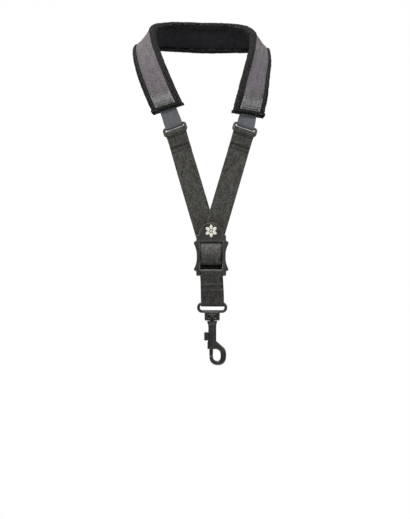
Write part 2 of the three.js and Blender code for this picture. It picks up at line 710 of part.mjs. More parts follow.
function addBolt() {
  const boreX = HOOK_X + BORE.offset;
  const socket = THUMB.stem / 2 + GAP;
  const stemZ = (THUMB.top + THUMB.foot) / 2 - 1.2;
  const stem = (radius, x0, x1) => {
    const cylinder = new THREE.CylinderGeometry(radius, radius, x1 - x0, 16);
    return cylinder.rotateZ(Math.PI / 2).translate((x0 + x1) / 2, HOOK_Y, stemZ);
  };
  const rod = uprightCylinder(BOLT.radius, BOLT.foot, BOLT.top, boreX, HOOK_Y);
  const rodSolid = cut(toSolid(rod), stem(socket, boreX - 5, boreX));
  addPiece("bolt", toGeometry(rodSolid), COLOURS.plastic, 0.4);

  // The thumb tab has a ridged face and saddles the barrel, on a stem that plugs into the bolt.
  const inner = HOOK_X - THUMB.in;
  const outer = HOOK_X - THUMB.out;
  const ridges = 4;
  const pitch = (THUMB.top - THUMB.foot) / ridges;
  const face = new THREE.Shape();
  face.moveTo(inner, THUMB.foot);
  face.lineTo(inner, THUMB.top);
  for (let i = 0; i < ridges; i++) {
    face.lineTo(outer + 0.9, THUMB.top - pitch * i);
    face.lineTo(outer, THUMB.top - pitch * (i + 0.7));
  }
  face.lineTo(outer + 0.9, THUMB.foot);
  const solidGrip = slab(face, HOOK_Y - THUMB.halfDepth, HOOK_Y + THUMB.halfDepth);
  const saddle = uprightCylinder(BARREL.radius + GAP, THUMB.foot - 1, THUMB.top + 1, HOOK_X, HOOK_Y, 32);
  const grip = toGeometry(cut(toSolid(solidGrip), saddle));
  const whole = join(grip, stem(THUMB.stem / 2, outer + 3, boreX - GAP));
  addPiece("thumb_tab", toGeometry(whole), COLOURS.plastic, 0.45);
}

class Helix extends THREE.Curve {
  constructor(radius, turns, low, high, x, y) {
    super();
    Object.assign(this, { radius, turns, low, high, x, y });
  }

  getPoint(t) {
    const angle = 2 * Math.PI * this.turns * t;
    const height = THREE.MathUtils.lerp(this.low, this.high, t);
    return vec(this.x + this.radius * Math.cos(angle), this.y + this.radius * Math.sin(angle), height);
  }
}

function addSpring() {
  const low = BOLT.top + GAP + SPRING.wire / 2;
  const high = BORE.top - GAP - SPRING.wire / 2;
  const path = new Helix(SPRING.radius, SPRING.turns, low, high, HOOK_X + BORE.offset, HOOK_Y);
  const section = new THREE.Shape().absarc(0, 0, SPRING.wire / 2, 0, 2 * Math.PI);
  const options = { steps: SPRING.turns * 12, extrudePath: path, curveSegments: 3 };
  const coil = new THREE.ExtrudeGeometry(section, options);
  addPiece("bolt_spring", coil, COLOURS.steel, 0.3, 1);
}

addPadLayers();
addEdgeTapes();
addEndTapes();
addEndPatches();
addTabs();
addRings();
addLegs();
addSlider();
addUpperStrap();
addStrapEnd();
addStrapFold();
addEye();
addHookBody();
addBolt();
addSpring();

export default strap;
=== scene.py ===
"""Looks of the saxophone neck strap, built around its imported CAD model.

Shapes are in millimetres in the CAD model's frame (+Z up, -Y to the wearer's front, origin at the nape) and
become metres when a mesh is made. UV maps are in millimetres too: across the strap, then along it. A shape
is a tuple of points and faces, with a UV point for each point where its material needs one.
"""

import math

import bmesh
import bpy
import numpy as np
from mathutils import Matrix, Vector, noise


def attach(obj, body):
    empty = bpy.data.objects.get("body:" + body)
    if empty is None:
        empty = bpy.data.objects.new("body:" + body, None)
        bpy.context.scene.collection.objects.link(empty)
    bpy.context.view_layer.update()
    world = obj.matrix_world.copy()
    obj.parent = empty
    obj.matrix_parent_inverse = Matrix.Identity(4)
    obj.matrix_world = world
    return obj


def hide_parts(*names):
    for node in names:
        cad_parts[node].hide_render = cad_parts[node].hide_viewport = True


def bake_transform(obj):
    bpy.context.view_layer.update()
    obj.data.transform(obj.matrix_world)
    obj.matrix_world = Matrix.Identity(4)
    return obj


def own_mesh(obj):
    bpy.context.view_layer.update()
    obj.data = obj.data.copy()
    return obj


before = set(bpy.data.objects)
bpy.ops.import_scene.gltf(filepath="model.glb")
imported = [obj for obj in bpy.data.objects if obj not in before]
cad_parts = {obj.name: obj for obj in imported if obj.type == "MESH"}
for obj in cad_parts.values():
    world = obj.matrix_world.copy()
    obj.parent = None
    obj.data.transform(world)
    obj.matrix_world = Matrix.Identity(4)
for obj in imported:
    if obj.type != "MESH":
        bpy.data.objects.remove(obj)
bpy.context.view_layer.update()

# --- sizes, in millimetres

MM = 0.001
GAP = 0.3
WEBBING_WIDTH, THICKNESS = 25.0, 1.35
TAB_WIDTH, TAB_THICKNESS = 20.0, 1.2
LEG_WIDTH = 24.0

PAD_WIDTH = 38.0
PAD_CORE_HALF = 17.2
FOAM_MIDDLE = 2.8
BAND_LOW, BAND_HIGH = 5.8, 7.0
PATCH_START, PATCH_LENGTH = 2.2, 17.0
PAD_TO_TAB = 1.8

RING_WIDTH, RING_HEIGHT, RING_BAR, RING_SIDE, RING_DEPTH = 29.4, 11.0, 2.8, 2.2, 3.0
RING_TOP = {"spread": 40.8, "y": -134.0, "z": -120.0}
RING_FOOT = {"spread": 38.6, "y": -135.6, "z": -127.8}
RING_TURN = {"left": math.radians(20), "right": math.radians(-14)}

V_X = 7.7
LEG_RETURN = 25.0
LEG_FOLD_RISE = 4.2
LEG_ROWS = (12.6, 17.2, 21.6)
LEG_FOOT = {"spread": 3.3, "z": -247.0}
LEG_FOOT_Y = {"left": -161.2, "right": -163.6}

HANG_X, HOOK_X, HOOK_Y = 9.0, 10.1, -162.5
BORE_X = HOOK_X - 1.1
SLIDER_Z, SLIDER_FRONT, SLIDER_PLATE = -268.0, -168.5, 2.6
CREST_RISE = 23.4
CROSS_BAR = {"front": -163.9, "back": -159.9, "half": 5.0}
FOOT_BAR = {"front": -166.5, "back": -163.9, "top": -284.7, "foot": -289.9}
EYE = {"width": 34.0, "height": 12.2, "wire": 3.4, "z": -325.8}

LAYER = THICKNESS + GAP
STRAP_DIVIDE = 297.0
SEWN_ROW, SEWN_END = 300.0, 306.4
EYE_BAR = -EYE["z"] - (EYE["height"] - EYE["wire"]) / 2
EYE_LOOP = EYE["wire"] / 2 + 0.3 + THICKNESS / 2

SIDES = {"left": -1, "right": 1}

# Stations of the pad from its left end round the nape to its right end, in part.mjs's own list: the edge
# on the neck, then the edge on the shoulder.
PAD_STATIONS = [
    [(-21, -135.4, -95), (-57, -120.6, -105.4)],
    [(-30.5, -123.5, -76), (-66, -109.5, -84.4)],
    [(-39.3, -109.5, -54.5), (-74.7, -94, -61.5)],
    [(-47, -94, -34.5), (-80.5, -74, -39)],
    [(-53, -76, -13.5), (-80.5, -48, -22.5)],
    [(-55, -54, 5.5), (-73, -26, -20)],
    [(-44, -29, 14.5), (-59, -6, -18)],
    [(-22, -13, 18.5), (-28, 6, -17.5)],
    [(0, -9, 18), (0, 9, -18)],
    [(22, -13, 17), (28, 6, -18.5)],
    [(44, -29, 11), (59, -6, -20.5)],
    [(54.5, -54, -1.5), (72, -26, -24.5)],
    [(54.5, -76, -19.5), (75, -46, -24.5)],
    [(50.5, -95.5, -37), (76.8, -69, -40)],
    [(44.5, -111.5, -59), (75, -89, -60.5)],
    [(38.5, -124.5, -81), (73, -107.5, -84)],
    [(31.5, -135.4, -104), (68.5, -120.5, -109)],
]

# --- routes


def unit(vector):
    vector = np.asarray(vector, float)
    return vector / np.linalg.norm(vector, axis=-1, keepdims=True)


def catmull_rom(points, centripetal, per_span=100):
    """Points along a Catmull-Rom curve, with the same spacing rule as three.js uses."""
    points = np.asarray(points, float)
    padded = np.vstack([2 * points[0] - points[1], points, 2 * points[-1] - points[-2]])
    t = np.linspace(0, 1, per_span, endpoint=False)[:, None]
    leave, arrive = t**3 - 2 * t**2 + t, t**3 - t**2
    blend = 3 * t**2 - 2 * t**3
    spans = []
    for p0, p1, p2, p3 in zip(padded, padded[1:], padded[2:], padded[3:]):
        if centripetal:
            d0, d1, d2 = (np.linalg.norm(b - a) ** 0.5 for a, b in ((p0, p1), (p1, p2), (p2, p3)))
            m1 = d1 * ((p1 - p0) / d0 - (p2 - p0) / (d0 + d1) + (p2 - p1) / d1)
            m2 = d1 * ((p2 - p1) / d1 - (p3 - p1) / (d1 + d2) + (p3 - p2) / d2)
        else:
            m1, m2 = (p2 - p0) / 2, (p3 - p1) / 2
        spans.append(p1 * (1 - blend) + m1 * leave + p2 * blend + m2 * arrive)
    return np.vstack([*spans, points[-1:]])


def run_along(points):
    """How far along a line of points each one lies."""
    return np.concatenate([[0], np.cumsum(np.linalg.norm(np.diff(points, axis=0), axis=1))])


def interpolated(places, known, table):
    return np.stack([np.interp(places, known, column) for column in np.asarray(table).T], -1)


class Route:
    """A centre line with a direction across it: s runs along it, v across, and n out of the face."""

    def __init__(self, stations):
        self.points = catmull_rom([at for at, _ in stations], centripetal=True)
        self.sideways = catmull_rom([across for _, across in stations], centripetal=False)
        self.s = run_along(self.points)
        self.length = self.s[-1]
        self.tangents = unit(np.gradient(self.points, self.s, axis=0))

    def frame(self, s):
        s = np.asarray(s, float)
        inside = np.clip(s, 0, self.length)
        along = unit(interpolated(inside, self.s, self.tangents))
        point = interpolated(inside, self.s, self.points) + along * (s - inside)[..., None]
        across = unit(interpolated(inside, self.s, self.sideways))
        return point, along, across, unit(np.cross(along, across))

    def place(self, s, v, n):
        s, v, n = np.broadcast_arrays(np.asarray(s, float), v, n)
        point, _, across, out = self.frame(s)
        return point + across * v[..., None] + out * n[..., None]


class PadRoute(Route):
    """The pad's route. Near both ends the pad is sewn thin, so its neck side rises towards its face."""

    FULL_FACE = 5.6
    TAPER = 13.0

    def __init__(self):
        edges = np.array(PAD_STATIONS, float)
        super().__init__([((neck + shoulder) / 2, unit(shoulder - neck)) for neck, shoulder in edges])

    def place(self, s, v, n):
        s, v, n = np.broadcast_arrays(np.asarray(s, float), v, n)
        from_end = np.minimum(s, self.length - s)
        pinch = 0.55 * np.clip(1 - from_end / self.TAPER, 0, 1) ** 1.6
        return super().place(s, v, n + pinch * np.maximum(self.FULL_FACE - n, 0))

    def inward(self, end, distance):
        """A place on the route, measured inward from the pad's left or right end."""
        return distance if end == "left" else self.length - distance

    def steps(self, step):
        return np.linspace(0, self.length, int(self.length / step) + 1)


PAD = PadRoute()


def across_of(along, turn):
    flat = np.array([math.cos(turn), -math.sin(turn), 0])
    return unit(flat - along * flat.dot(along))


def ring_frame(name):
    """The middles of a ring's upper and lower bars, and its directions along, across and out."""
    side = SIDES[name]
    top, foot = (np.array([V_X + side * at["spread"], at["y"], at["z"]]) for at in (RING_TOP, RING_FOOT))
    along = unit(foot - top)
    across = across_of(along, RING_TURN[name])
    return top, foot, along, across, np.cross(along, across)


def tab_route(name):
    start = PAD.inward(name, -PAD_TO_TAB)
    begin = PAD.place(start, 0, FOAM_MIDDLE)
    across = PAD.frame(start)[2] * SIDES[name]
    top, _, _, ring_across, _ = ring_frame(name)
    shares = (0, 0.4, 0.75, 1)
    return Route([(begin + (top - begin) * k, across * (1 - k) + ring_across * k) for k in shares])


def leg_route(name):
    _, ring_foot, _, ring_across, _ = ring_frame(name)
    end = np.array([V_X + SIDES[name] * LEG_FOOT["spread"], LEG_FOOT_Y[name], LEG_FOOT["z"]])
    run = end - ring_foot
    stations = [(ring_foot, ring_across)]
    shares = [(0.12, 0.15, 0.1), (0.35, 0.44, 0.5), (0.62, 0.77, 1), (0.87, 1, 1), (1, 1, 1)]
    for down, forward, turned in shares:
        slope = unit([run[0], run[1] if forward < 1 else 0, run[2]])
        place = ring_foot + run * np.array([down, forward, down])
        stations.append((place, across_of(slope, RING_TURN[name] * (1 - turned))))
    return Route(stations)


STRAP_LEAN = (HOOK_X - HANG_X) / (SLIDER_Z - EYE["z"])
PLUMB = Route([((HANG_X + STRAP_LEAN * (SLIDER_Z - z), HOOK_Y, z), (1, 0, 0)) for z in (0, -200, -400)])

# --- meshes


def linked(name, data):
    holder = bpy.data.objects.new(name, data)
    bpy.context.scene.collection.objects.link(holder)
    return holder


def make_piece(name, shape, material, slot, body, *nodes, sharp=35):
    """A mesh object that rides on the body, takes the material and stands for the nodes. Its slot is not
    used.
    """
    points, faces, uv = (*shape, None)[:3]
    mesh = bpy.data.meshes.new(name)
    mesh.from_pydata((np.asarray(points, float) * MM).tolist(), [], [list(face) for face in faces])
    if uv is not None:
        layer = mesh.uv_layers.new(name="millimetres")
        index = np.empty(len(mesh.loops), np.int32)
        mesh.loops.foreach_get("vertex_index", index)
        layer.data.foreach_set("uv", np.asarray(uv, np.float32)[index].ravel())
    mesh.validate()
    mesh.polygons.foreach_set("use_smooth", [True] * len(mesh.polygons))
    mesh.set_sharp_from_angle(angle=math.radians(sharp))
    mesh.materials.append(material)
    piece = linked(name, mesh)
    if body:
        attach(piece, body)
    if nodes:
        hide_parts(*nodes)
    return piece


def make_strap(name, shape, material, slot, bodies, route, reach, *nodes):
    """A piece on no body, with its placement baked into its mesh. Its bodies are not used."""
    piece = make_piece(name, shape, material, slot, None, *nodes)
    start, end = route.place(reach, 0, 0) * MM
    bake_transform(piece)


def grid_faces(rows, columns, wrap_rows=False):
    """Faces between rows of points, each row closed on itself."""
    faces = []
    for i in range(rows if wrap_rows else rows - 1):
        for j in range(columns):
            a, b = i * columns + j, i * columns + (j + 1) % columns
            shift = ((i + 1) % rows) * columns - i * columns
            faces.append((a, b, b + shift, a + shift))
    return faces


def loft(rings, uv):
    """Skins closed sections, an array of (rows, columns, 3), and caps both ends."""
    rows, columns, _ = rings.shape
    faces = grid_faces(rows, columns)
    faces.append(tuple(range(columns))[::-1])
    faces.append(tuple((rows - 1) * columns + j for j in range(columns)))
    return rings.reshape(-1, 3), faces, uv.reshape(-1, 2)


def join_parts(parts):
    points, faces, start = [], [], 0
    for part_points, part_faces, *_ in parts:
        points.append(np.asarray(part_points, float))
        faces.extend(tuple(i + start for i in face) for face in part_faces)
        start += len(part_points)
    return np.vstack(points), faces


def tube(points, radius, sides=6):
    """A round tube with capped ends along a line of points. Its radius may differ from point to point."""
    points = np.asarray(points, float)
    along = unit(np.gradient(points, axis=0))
    helper = np.array([0.0, 0, 1]) if abs(along[0][2]) < 0.9 else np.array([1.0, 0, 0])
    side = unit(np.cross(along[0], helper))
    angles = np.linspace(0, 2 * math.pi, sides, endpoint=False)[:, None]
    rings = []
    for point, direction, r in zip(points, along, np.broadcast_to(radius, len(points))):
        side = unit(side - direction * side.dot(direction))
        up = np.cross(direction, side)
        rings.append(point + r * (np.cos(angles) * side + np.sin(angles) * up))
    return loft(np.array(rings), np.zeros((len(points), sides, 2)))[:2]


def wobble(points, size, seed=0.0):
    """Smooth noise between -1 and 1 at each point, in millimetres, with bumps of about that size."""
    shift = Vector((seed, 2 * seed, 3 * seed))
    flat = np.asarray(points, float).reshape(-1, 3) / size
    return np.array([noise.noise(Vector(p) + shift) for p in flat]).reshape(np.shape(points)[:-1])


def on_cloth(v, s):
    """Places on a strap laid flat, as points for the noise."""
    v, s = np.broadcast_arrays(v, s)
    return np.stack([v, s, np.zeros_like(v)], -1)


def hump(x, at, spread):
    return np.exp(-(((x - at) / spread) ** 2))


# --- sections and paths


def band_section(half, low, high, crown=0.0, across=22, edge=None):
    """A flat band's section in (v, n), with rounded edges and a face crowned in the middle."""
    middle, rise = (low + high) / 2, (high - low) / 2
    edge = edge or rise
    turn = np.radians(np.linspace(-90, 90, 9))
    right = np.stack([half - edge + edge * np.cos(turn), middle + rise * np.sin(turn)], -1)
    v = np.linspace(half - edge, edge - half, across)[1:-1]
    top = np.stack([v, high + crown * (1 - (v / half) ** 2)], -1)
    bottom = np.stack([-v, np.full_like(v, low)], -1)
    return np.vstack([right, top, right[::-1] * [-1, 1], bottom])


def superellipse(half_width, half_depth, power, count):
    angle = np.linspace(0, 2 * math.pi, count, endpoint=False)
    c, s = np.cos(angle), np.sin(angle)
    x = np.sign(c) * np.abs(c) ** (2 / power) * half_width
    return np.stack([x, np.sign(s) * np.abs(s) ** (2 / power) * half_depth], -1)


def carry(section, route, s):
    """A section's copies at places along a route, with their (v, s) and the direction out of the face."""
    v, along = np.broadcast_arrays(section[:, 0], s[:, None])
    rings = route.place(along, v, section[:, 1])
    return rings, np.stack([v, along], -1), route.frame(s)[3][:, None]


def rippled(section, route, s, ripple, size, seed=0.0):
    """A section carried along a route, with gentle unevenness on its face."""
    rings, uv, out = carry(section, route, s)
    lift = ripple * (section[:, 1] - section[:, 1].min()) / np.ptp(section[:, 1])
    return loft(rings + out * (wobble(rings, size, seed) * lift)[..., None], uv)


def line(start, end, step):
    return np.linspace(start, end, max(2, int(math.dist(start, end) / step) + 1))


def bezier(p0, p1, p2, p3, count):
    t = np.linspace(0, 1, count)[:, None]
    p0, p1, p2, p3 = (np.array(p, float) for p in (p0, p1, p2, p3))
    return p0 * (1 - t) ** 3 + 3 * p1 * t * (1 - t) ** 2 + 3 * p2 * t**2 * (1 - t) + p3 * t**3


def arc(centre, radius, start, end, count=24):
    angle = np.radians(np.linspace(start, end, count))
    return np.array(centre, float) + radius * np.stack([np.cos(angle), np.sin(angle)], -1)


def draw(start, *stretches):
    """A path from stretch to stretch, without doubled points. A list or array adds its points. A tuple of a
    step and a point adds a line, and a tuple of a count and three points adds a Bezier curve."""
    path = np.array([start], float)
    for stretch in stretches:
        if isinstance(stretch, tuple):
            detail, *points = stretch
            stretch = (line if len(points) == 1 else bezier)(path[-1], *points, detail)
        path = np.vstack([path, stretch])
    return path[np.concatenate([[True], np.diff(run_along(path)) > 1e-3])]


def ribbon(path, route, width, thickness, ripple, seed, crown=0.06, across=22, lift=None):
    """A strap whose middle follows a path in (n, s), seen from the side. lift(v, s) raises its faces."""
    steps = unit(np.diff(path, axis=0))
    before, after = np.vstack([steps[:1], steps]), np.vstack([steps, steps[-1:]])
    along = unit(before + after)
    mitre = np.stack([along[:, 1], -along[:, 0]], -1) / (along * after).sum(1, keepdims=True)
    section = band_section(width / 2, -thickness / 2, thickness / 2, crown, across)
    travelled = run_along(path)[:, None]
    height = section[:, 1] + ripple * wobble(on_cloth(section[:, 0], travelled), 11.0, seed)
    n = path[:, :1] + mitre[:, :1] * height
    s = path[:, 1:] + mitre[:, 1:] * height
    v = np.broadcast_to(section[:, 0], n.shape)
    if lift:
        n = n + lift(v, s)
    return loft(route.place(s, v, n), np.stack([v, np.broadcast_to(travelled, v.shape)], -1))


# --- stitching


def stitch_line(points, out, pitch=3.0, length=2.3, radius=0.26, lift=0.16):
    """Thread stitches along a line of points on a face: each one rises from the fabric and dips back in."""
    points = np.asarray(points, float)
    run = run_along(points)
    count = max(1, int((run[-1] - length) / pitch) + 1)
    margin = (run[-1] - (count - 1) * pitch - length) / 2
    rise = np.array([-0.45, 0.35, 1.0, 0.35, -0.45])[:, None] * lift
    taper = radius * np.array([0.6, 0.95, 1, 0.95, 0.6])
    parts = []
    for i in range(count):
        d = margin + i * pitch + np.linspace(0, length, len(rise))
        up = unit(interpolated(d, run, out))
        parts.append(tube(interpolated(d, run, points) + up * rise, taper))
    return parts


def stitches_along(route, s0, s1, v, n, **style):
    s = np.linspace(s0, s1, max(2, int(abs(s1 - s0))))
    return stitch_line(route.place(s, v, n), route.frame(s)[3], **style)


def stitches_across(route, s, half, n, **style):
    v = np.linspace(-half, half, 12)
    out = np.broadcast_to(route.frame(s)[3], (len(v), 3))
    return stitch_line(route.place(s, v, n), out, **style)


def zigzag(route, s, half, n, reach, step, radius):
    """A zigzag row across a strap: one thread for each slanting stitch."""
    parts = []
    corners = np.arange(-half, half + 0.01, step)
    for i, (v0, v1) in enumerate(zip(corners, corners[1:])):
        slant = reach / 2 if i % 2 else -reach / 2
        along = np.linspace(s - slant, s + slant, 5)
        row = route.place(along, np.linspace(v0, v1, 5), n)
        length = math.hypot(v1 - v0, reach) * 0.97
        parts += stitch_line(row, route.frame(along)[3], length=length, pitch=9, radius=radius)
    return parts


# --- materials


class Shader:
    """A procedural material. Its textures run on the UV map, or on the object's place, in millimetres."""

    def __init__(self, name, roughness, specular=0.5, on_object=False):
        self.material = bpy.data.materials.new(name)
        self.material.use_nodes = True
        self.tree = self.material.node_tree
        self.surface = self.tree.nodes["Principled BSDF"]
        self.set("Roughness", roughness)
        self.set("Specular IOR Level", specular)
        coordinates = self.tree.nodes.new("ShaderNodeTexCoord")
        if on_object:
            self.place = self.vector("MULTIPLY", coordinates.outputs["Object"], (1000, 1000, 1000))
        else:
            self.place = coordinates.outputs["UV"]
        split = self.node("SeparateXYZ", {"Vector": self.place})
        self.across, self.along = split.outputs["X"], split.outputs["Y"]

    def feed(self, socket, value):
        if isinstance(value, bpy.types.NodeSocket):
            self.tree.links.new(value, socket)
        else:
            socket.default_value = (*value, 1) if socket.type == "RGBA" else value

    def set(self, key, value):
        self.feed(self.surface.inputs[key], value)

    def node(self, kind, inputs, **settings):
        """Adds a node with its settings, and feeds its inputs by name or number."""
        node = self.tree.nodes.new("ShaderNode" + kind)
        for key, value in settings.items():
            setattr(node, key, value)
        for key, value in inputs.items():
            self.feed(node.inputs[key], value)
        return node

    def math(self, operation, a, b=0.0):
        return self.node("Math", {0: a, 1: b}, operation=operation).outputs[0]

    def vector(self, operation, a, b):
        return self.node("VectorMath", {0: a, 1: b}, operation=operation).outputs[0]

    def add(self, a, b):
        return self.math("ADD", a, b)

    def times(self, a, b):
        return self.math("MULTIPLY", a, b)

    def weighted(self, *terms):
        """The sum of values, each times its weight."""
        total, *parts = (self.times(value, weight) for value, weight in terms)
        for part in parts:
            total = self.add(total, part)
        return total

    def noise(self, size, detail=2.0, stretch=(1, 1, 1)):
        """Noise from 0 to 1 whose bumps are about size millimetres, longer along a stretched axis."""
        scaled = self.vector("DIVIDE", self.place, [size * k for k in stretch])
        return self.node("TexNoise", {"Vector": scaled, "Scale": 1.0, "Detail": detail}).outputs["Fac"]

    def wave(self, value, pitch):
        """A cosine from 0 to 1 that repeats every pitch millimetres."""
        turns = self.times(self.math("DIVIDE", value, pitch), 2 * math.pi)
        return self.add(self.times(self.math("COSINE", turns), 0.5), 0.5)

    def ramp(self, value, low, dark, high, light):
        node = self.node("ValToRGB", {"Fac": value})
        for element, place, colour in zip(node.color_ramp.elements, (low, high), (dark, light)):
            element.position = place
            element.color = (*colour, 1)
        return node.outputs["Color"]

    def mix(self, factor, a, b):
        return self.node("Mix", {"Factor": factor, 6: a, 7: b}, data_type="RGBA").outputs[2]

    def finish(self, colour, height, depth):
        """Colours the surface and raises its height by up to depth millimetres. Returns the material."""
        bump = self.node("Bump", {"Height": height, "Strength": 1.0, "Distance": depth * MM})
        self.set("Base Color", colour)
        self.set("Normal", bump.outputs["Normal"])
        return self.material


BLACK, WHITE = (0, 0, 0), (1, 1, 1)
# Paler greys painted onto the adjusting strap as painted highlights, where light falls on its hump and
# folds.
HIGHLIGHT_PAINT_DARK, HIGHLIGHT_PAINT_LIGHT = (0.04, 0.039, 0.038), (0.15, 0.145, 0.142)


def webbing_material(name, dark, light, tint, rib=1.25, lean=1.5, depth=0.22, mottle=6, streak=0, painted_highlights=()):
    """Ribs crossed by leaning yarns, with speckle, worn patches, streaks and a faint tint. Each entry of
    the last
    argument is a painted highlight: a place along the strap, a spread and a strength, where the cloth is
    painted paler as if lit."""
    look = Shader(name, roughness=0.85, specular=0.12)
    slant = look.add(look.along, look.times(look.math("PINGPONG", look.across, rib), 0.9))
    ribs = look.math("POWER", look.wave(look.across, rib), 0.6)
    height = look.math("DIVIDE", look.times(ribs, look.add(look.wave(slant, lean), 1.4)), 2.4)
    worn = look.noise(mottle, 4, (0.8, 1.8, 1))
    yarn = look.noise(1.7, 4, (1, 1.3, 1))
    streaks = look.noise(2.6, 3, (1, 14, 1))
    amount = look.weighted((height, 0.16), (worn, 0.3 - streak), (yarn, 0.48), (streaks, streak + 0.06))
    grey = look.ramp(amount, 0.42, dark, 0.58, light)
    patches = look.ramp(look.noise(11.0, 3, (1, 1.6, 1)), 0.4, BLACK, 0.6, WHITE)
    cloth = look.mix(0.4, grey, look.mix(patches, grey, tint))
    # Paler greys for the painted highlights, which stand for light falling on the strap.
    highlight_cloth = look.ramp(amount, 0.42, HIGHLIGHT_PAINT_DARK, 0.58, HIGHLIGHT_PAINT_LIGHT)
    # Each painted highlight mixes the paler greys in along the strap.
    for place, spread, strength in painted_highlights:
        away = look.math("DIVIDE", look.math("SUBTRACT", look.along, place), spread)
        near = look.math("MAXIMUM", look.math("SUBTRACT", 1.0, look.times(away, away)), 0.0)
        cloth = look.mix(look.times(near, strength), cloth, highlight_cloth)
    return look.finish(cloth, look.add(height, look.times(yarn, 0.8)), depth)


def plush_material(name, dark, light, grain=1.4):
    """Short brushed pile: dark, with paler flecks where fibres catch the light."""
    look = Shader(name, roughness=0.95, specular=0.05)
    amount = look.weighted((look.noise(grain, 4), 0.68), (look.noise(0.6, 2), 0.32))
    return look.finish(look.ramp(amount, 0.49, dark, 0.61, light), amount, 0.45)


def knit_material(name, dark, light):
    """Fine jersey knit: columns of small loops."""
    look = Shader(name, roughness=0.92, specular=0.08)
    slant = look.add(look.along, look.math("PINGPONG", look.across, 0.45))
    height = look.times(look.wave(look.across, 0.9), look.add(look.wave(slant, 0.8), 0.6))
    amount = look.weighted((height, 0.35), (look.noise(7.0, 3), 0.5))
    return look.finish(look.ramp(amount, 0.15, dark, 0.8, light), height, 0.18)


def ribbon_material(name, dark, light):
    """Smooth taped ribbon with hairline ribs across it and a faint sheen."""
    look = Shader(name, roughness=0.5, specular=0.4)
    ribs = look.wave(look.along, 0.55)
    fine = look.noise(0.5, 2)
    amount = look.weighted((look.noise(6.0, 4, (1, 1.6, 1)), 0.7), (ribs, 0.15))
    look.set("Roughness", look.add(look.times(fine, 0.2), 0.4))
    colour = look.ramp(amount, 0.3, dark, 0.72, light)
    return look.finish(colour, look.add(ribs, look.times(fine, 0.4)), 0.05)


def plastic_material(name, dark, light, roughness):
    """Moulded plastic: fine spark-eroded grain, slight unevenness in gloss, and rubbed patches."""
    look = Shader(name, roughness, on_object=True)
    cloud = look.noise(8.0, 3)
    look.set("Roughness", look.add(look.times(cloud, 0.22), roughness - 0.1))
    return look.finish(look.ramp(cloud, 0.3, dark, 0.75, light), look.noise(0.45, 3), 0.035)


def metal_material(name, colour, metallic):
    look = Shader(name, roughness=0.3, on_object=True)
    look.set("Metallic", metallic)
    drawn = look.noise(0.5, 3, (1, 1, 6))
    return look.finish(look.mix(drawn, [0.8 * c for c in colour], colour), drawn, 0.01)


def thread_material(name, dark, light):
    """Twisted thread: slanting strands along each stitch."""
    look = Shader(name, roughness=0.7, specular=0.3, on_object=True)
    strands = look.noise(0.25, 1)
    return look.finish(look.ramp(strands, 0.35, dark, 0.65, light), strands, 0.06)


BAND_GREYS = (0.036, 0.034, 0.036), (0.112, 0.105, 0.11), (0.1, 0.08, 0.104)
BAND_WEAVE = {"rib": 1.1, "lean": 1.9, "depth": 0.16, "mottle": 7, "streak": 0.14}
BAND_CLOTH = webbing_material("band cloth", *BAND_GREYS, **BAND_WEAVE)
PATCH_GREYS = (0.06, 0.061, 0.063), (0.155, 0.154, 0.157), (0.13, 0.13, 0.13)
PATCH_CLOTH = webbing_material("patch cloth", *PATCH_GREYS, rib=1.6, lean=1.4, mottle=3)
STRAP_GREYS = (0.009, 0.0092, 0.0085), (0.056, 0.055, 0.051), (0.03, 0.027, 0.024)
LEG_GREYS = (0.01, 0.0105, 0.009), (0.07, 0.07, 0.063), (0.042, 0.036, 0.031)
LEG_CLOTH = webbing_material("leg webbing", *LEG_GREYS)
TAPE_CLOTH = plush_material("edge tape", (0.0012, 0.0012, 0.0014), (0.045, 0.045, 0.043))
COVER_CLOTH = plush_material("pad cover", (0.003, 0.003, 0.004), (0.02, 0.02, 0.022), grain=1.2)
LINING_CLOTH = knit_material("pad lining", (0.006, 0.006, 0.007), (0.026, 0.027, 0.03))
TAB_CLOTH = ribbon_material("tab ribbon", (0.06, 0.067, 0.075), (0.1, 0.108, 0.117))
RING_PLASTIC = plastic_material("ring plastic", (0.035, 0.035, 0.033), (0.06, 0.06, 0.057), 0.34)
SLIDER_PLASTIC = plastic_material("slider plastic", (0.02, 0.0198, 0.019), (0.036, 0.035, 0.033), 0.36)
HOOK_PLASTIC = plastic_material("hook plastic", (0.011, 0.011, 0.0105), (0.022, 0.0215, 0.0195), 0.34)
SPRING_STEEL = metal_material("spring steel", (0.55, 0.56, 0.58), metallic=1.0)
BADGE_METAL = metal_material("badge", (0.86, 0.83, 0.73), metallic=0.3)
DARK_THREAD = thread_material("dark thread", (0.002, 0.002, 0.002), (0.01, 0.01, 0.01))

# --- pad


def build_pad_core():
    """Cover and foam as one soft crowned form, pulled in along the band's two sewn edges."""
    section = band_section(PAD_CORE_HALF, 0.95, 5.5, crown=0.3, across=40, edge=2.2)
    face = section[:, 1] > 4
    section[:, 1] -= 0.6 * hump(np.abs(section[:, 0]), 12.9, 1.1) * face
    shape = rippled(section, PAD, PAD.steps(1.5), ripple=0.25, size=16)
    core = make_piece("pad_core", shape, COVER_CLOTH, "cover", "pad", "pad_foam", "pad_cover")


def build_pad_lining():
    """The knit on the neck's side, puffed between the tapes and creased across where the pad bends."""
    section = band_section(PAD_CORE_HALF, 0.0, 0.85, across=34)
    s = PAD.steps(1.0)
    rings, uv, out = carry(section, PAD, s)
    inner = (section[:, 1] < 0.4) * np.clip(1 - (section[:, 0] / 12.6) ** 2, 0, 1)
    bend = np.linalg.norm(np.gradient(PAD.frame(s)[1], s, axis=0), axis=1)
    creases = np.sin(s / 1.25 + 2.5 * wobble(on_cloth(s, 0), 23.0, 4)) * np.clip(bend / 0.02, 0, 1)
    puff = 0.75 + 0.3 * creases[:, None] + 0.35 * wobble(rings, 11, 3)
    shape = loft(rings - out * (inner * puff)[..., None], uv)
    make_piece("lining", shape, LINING_CLOTH, "lining", "pad", "pad_lining")


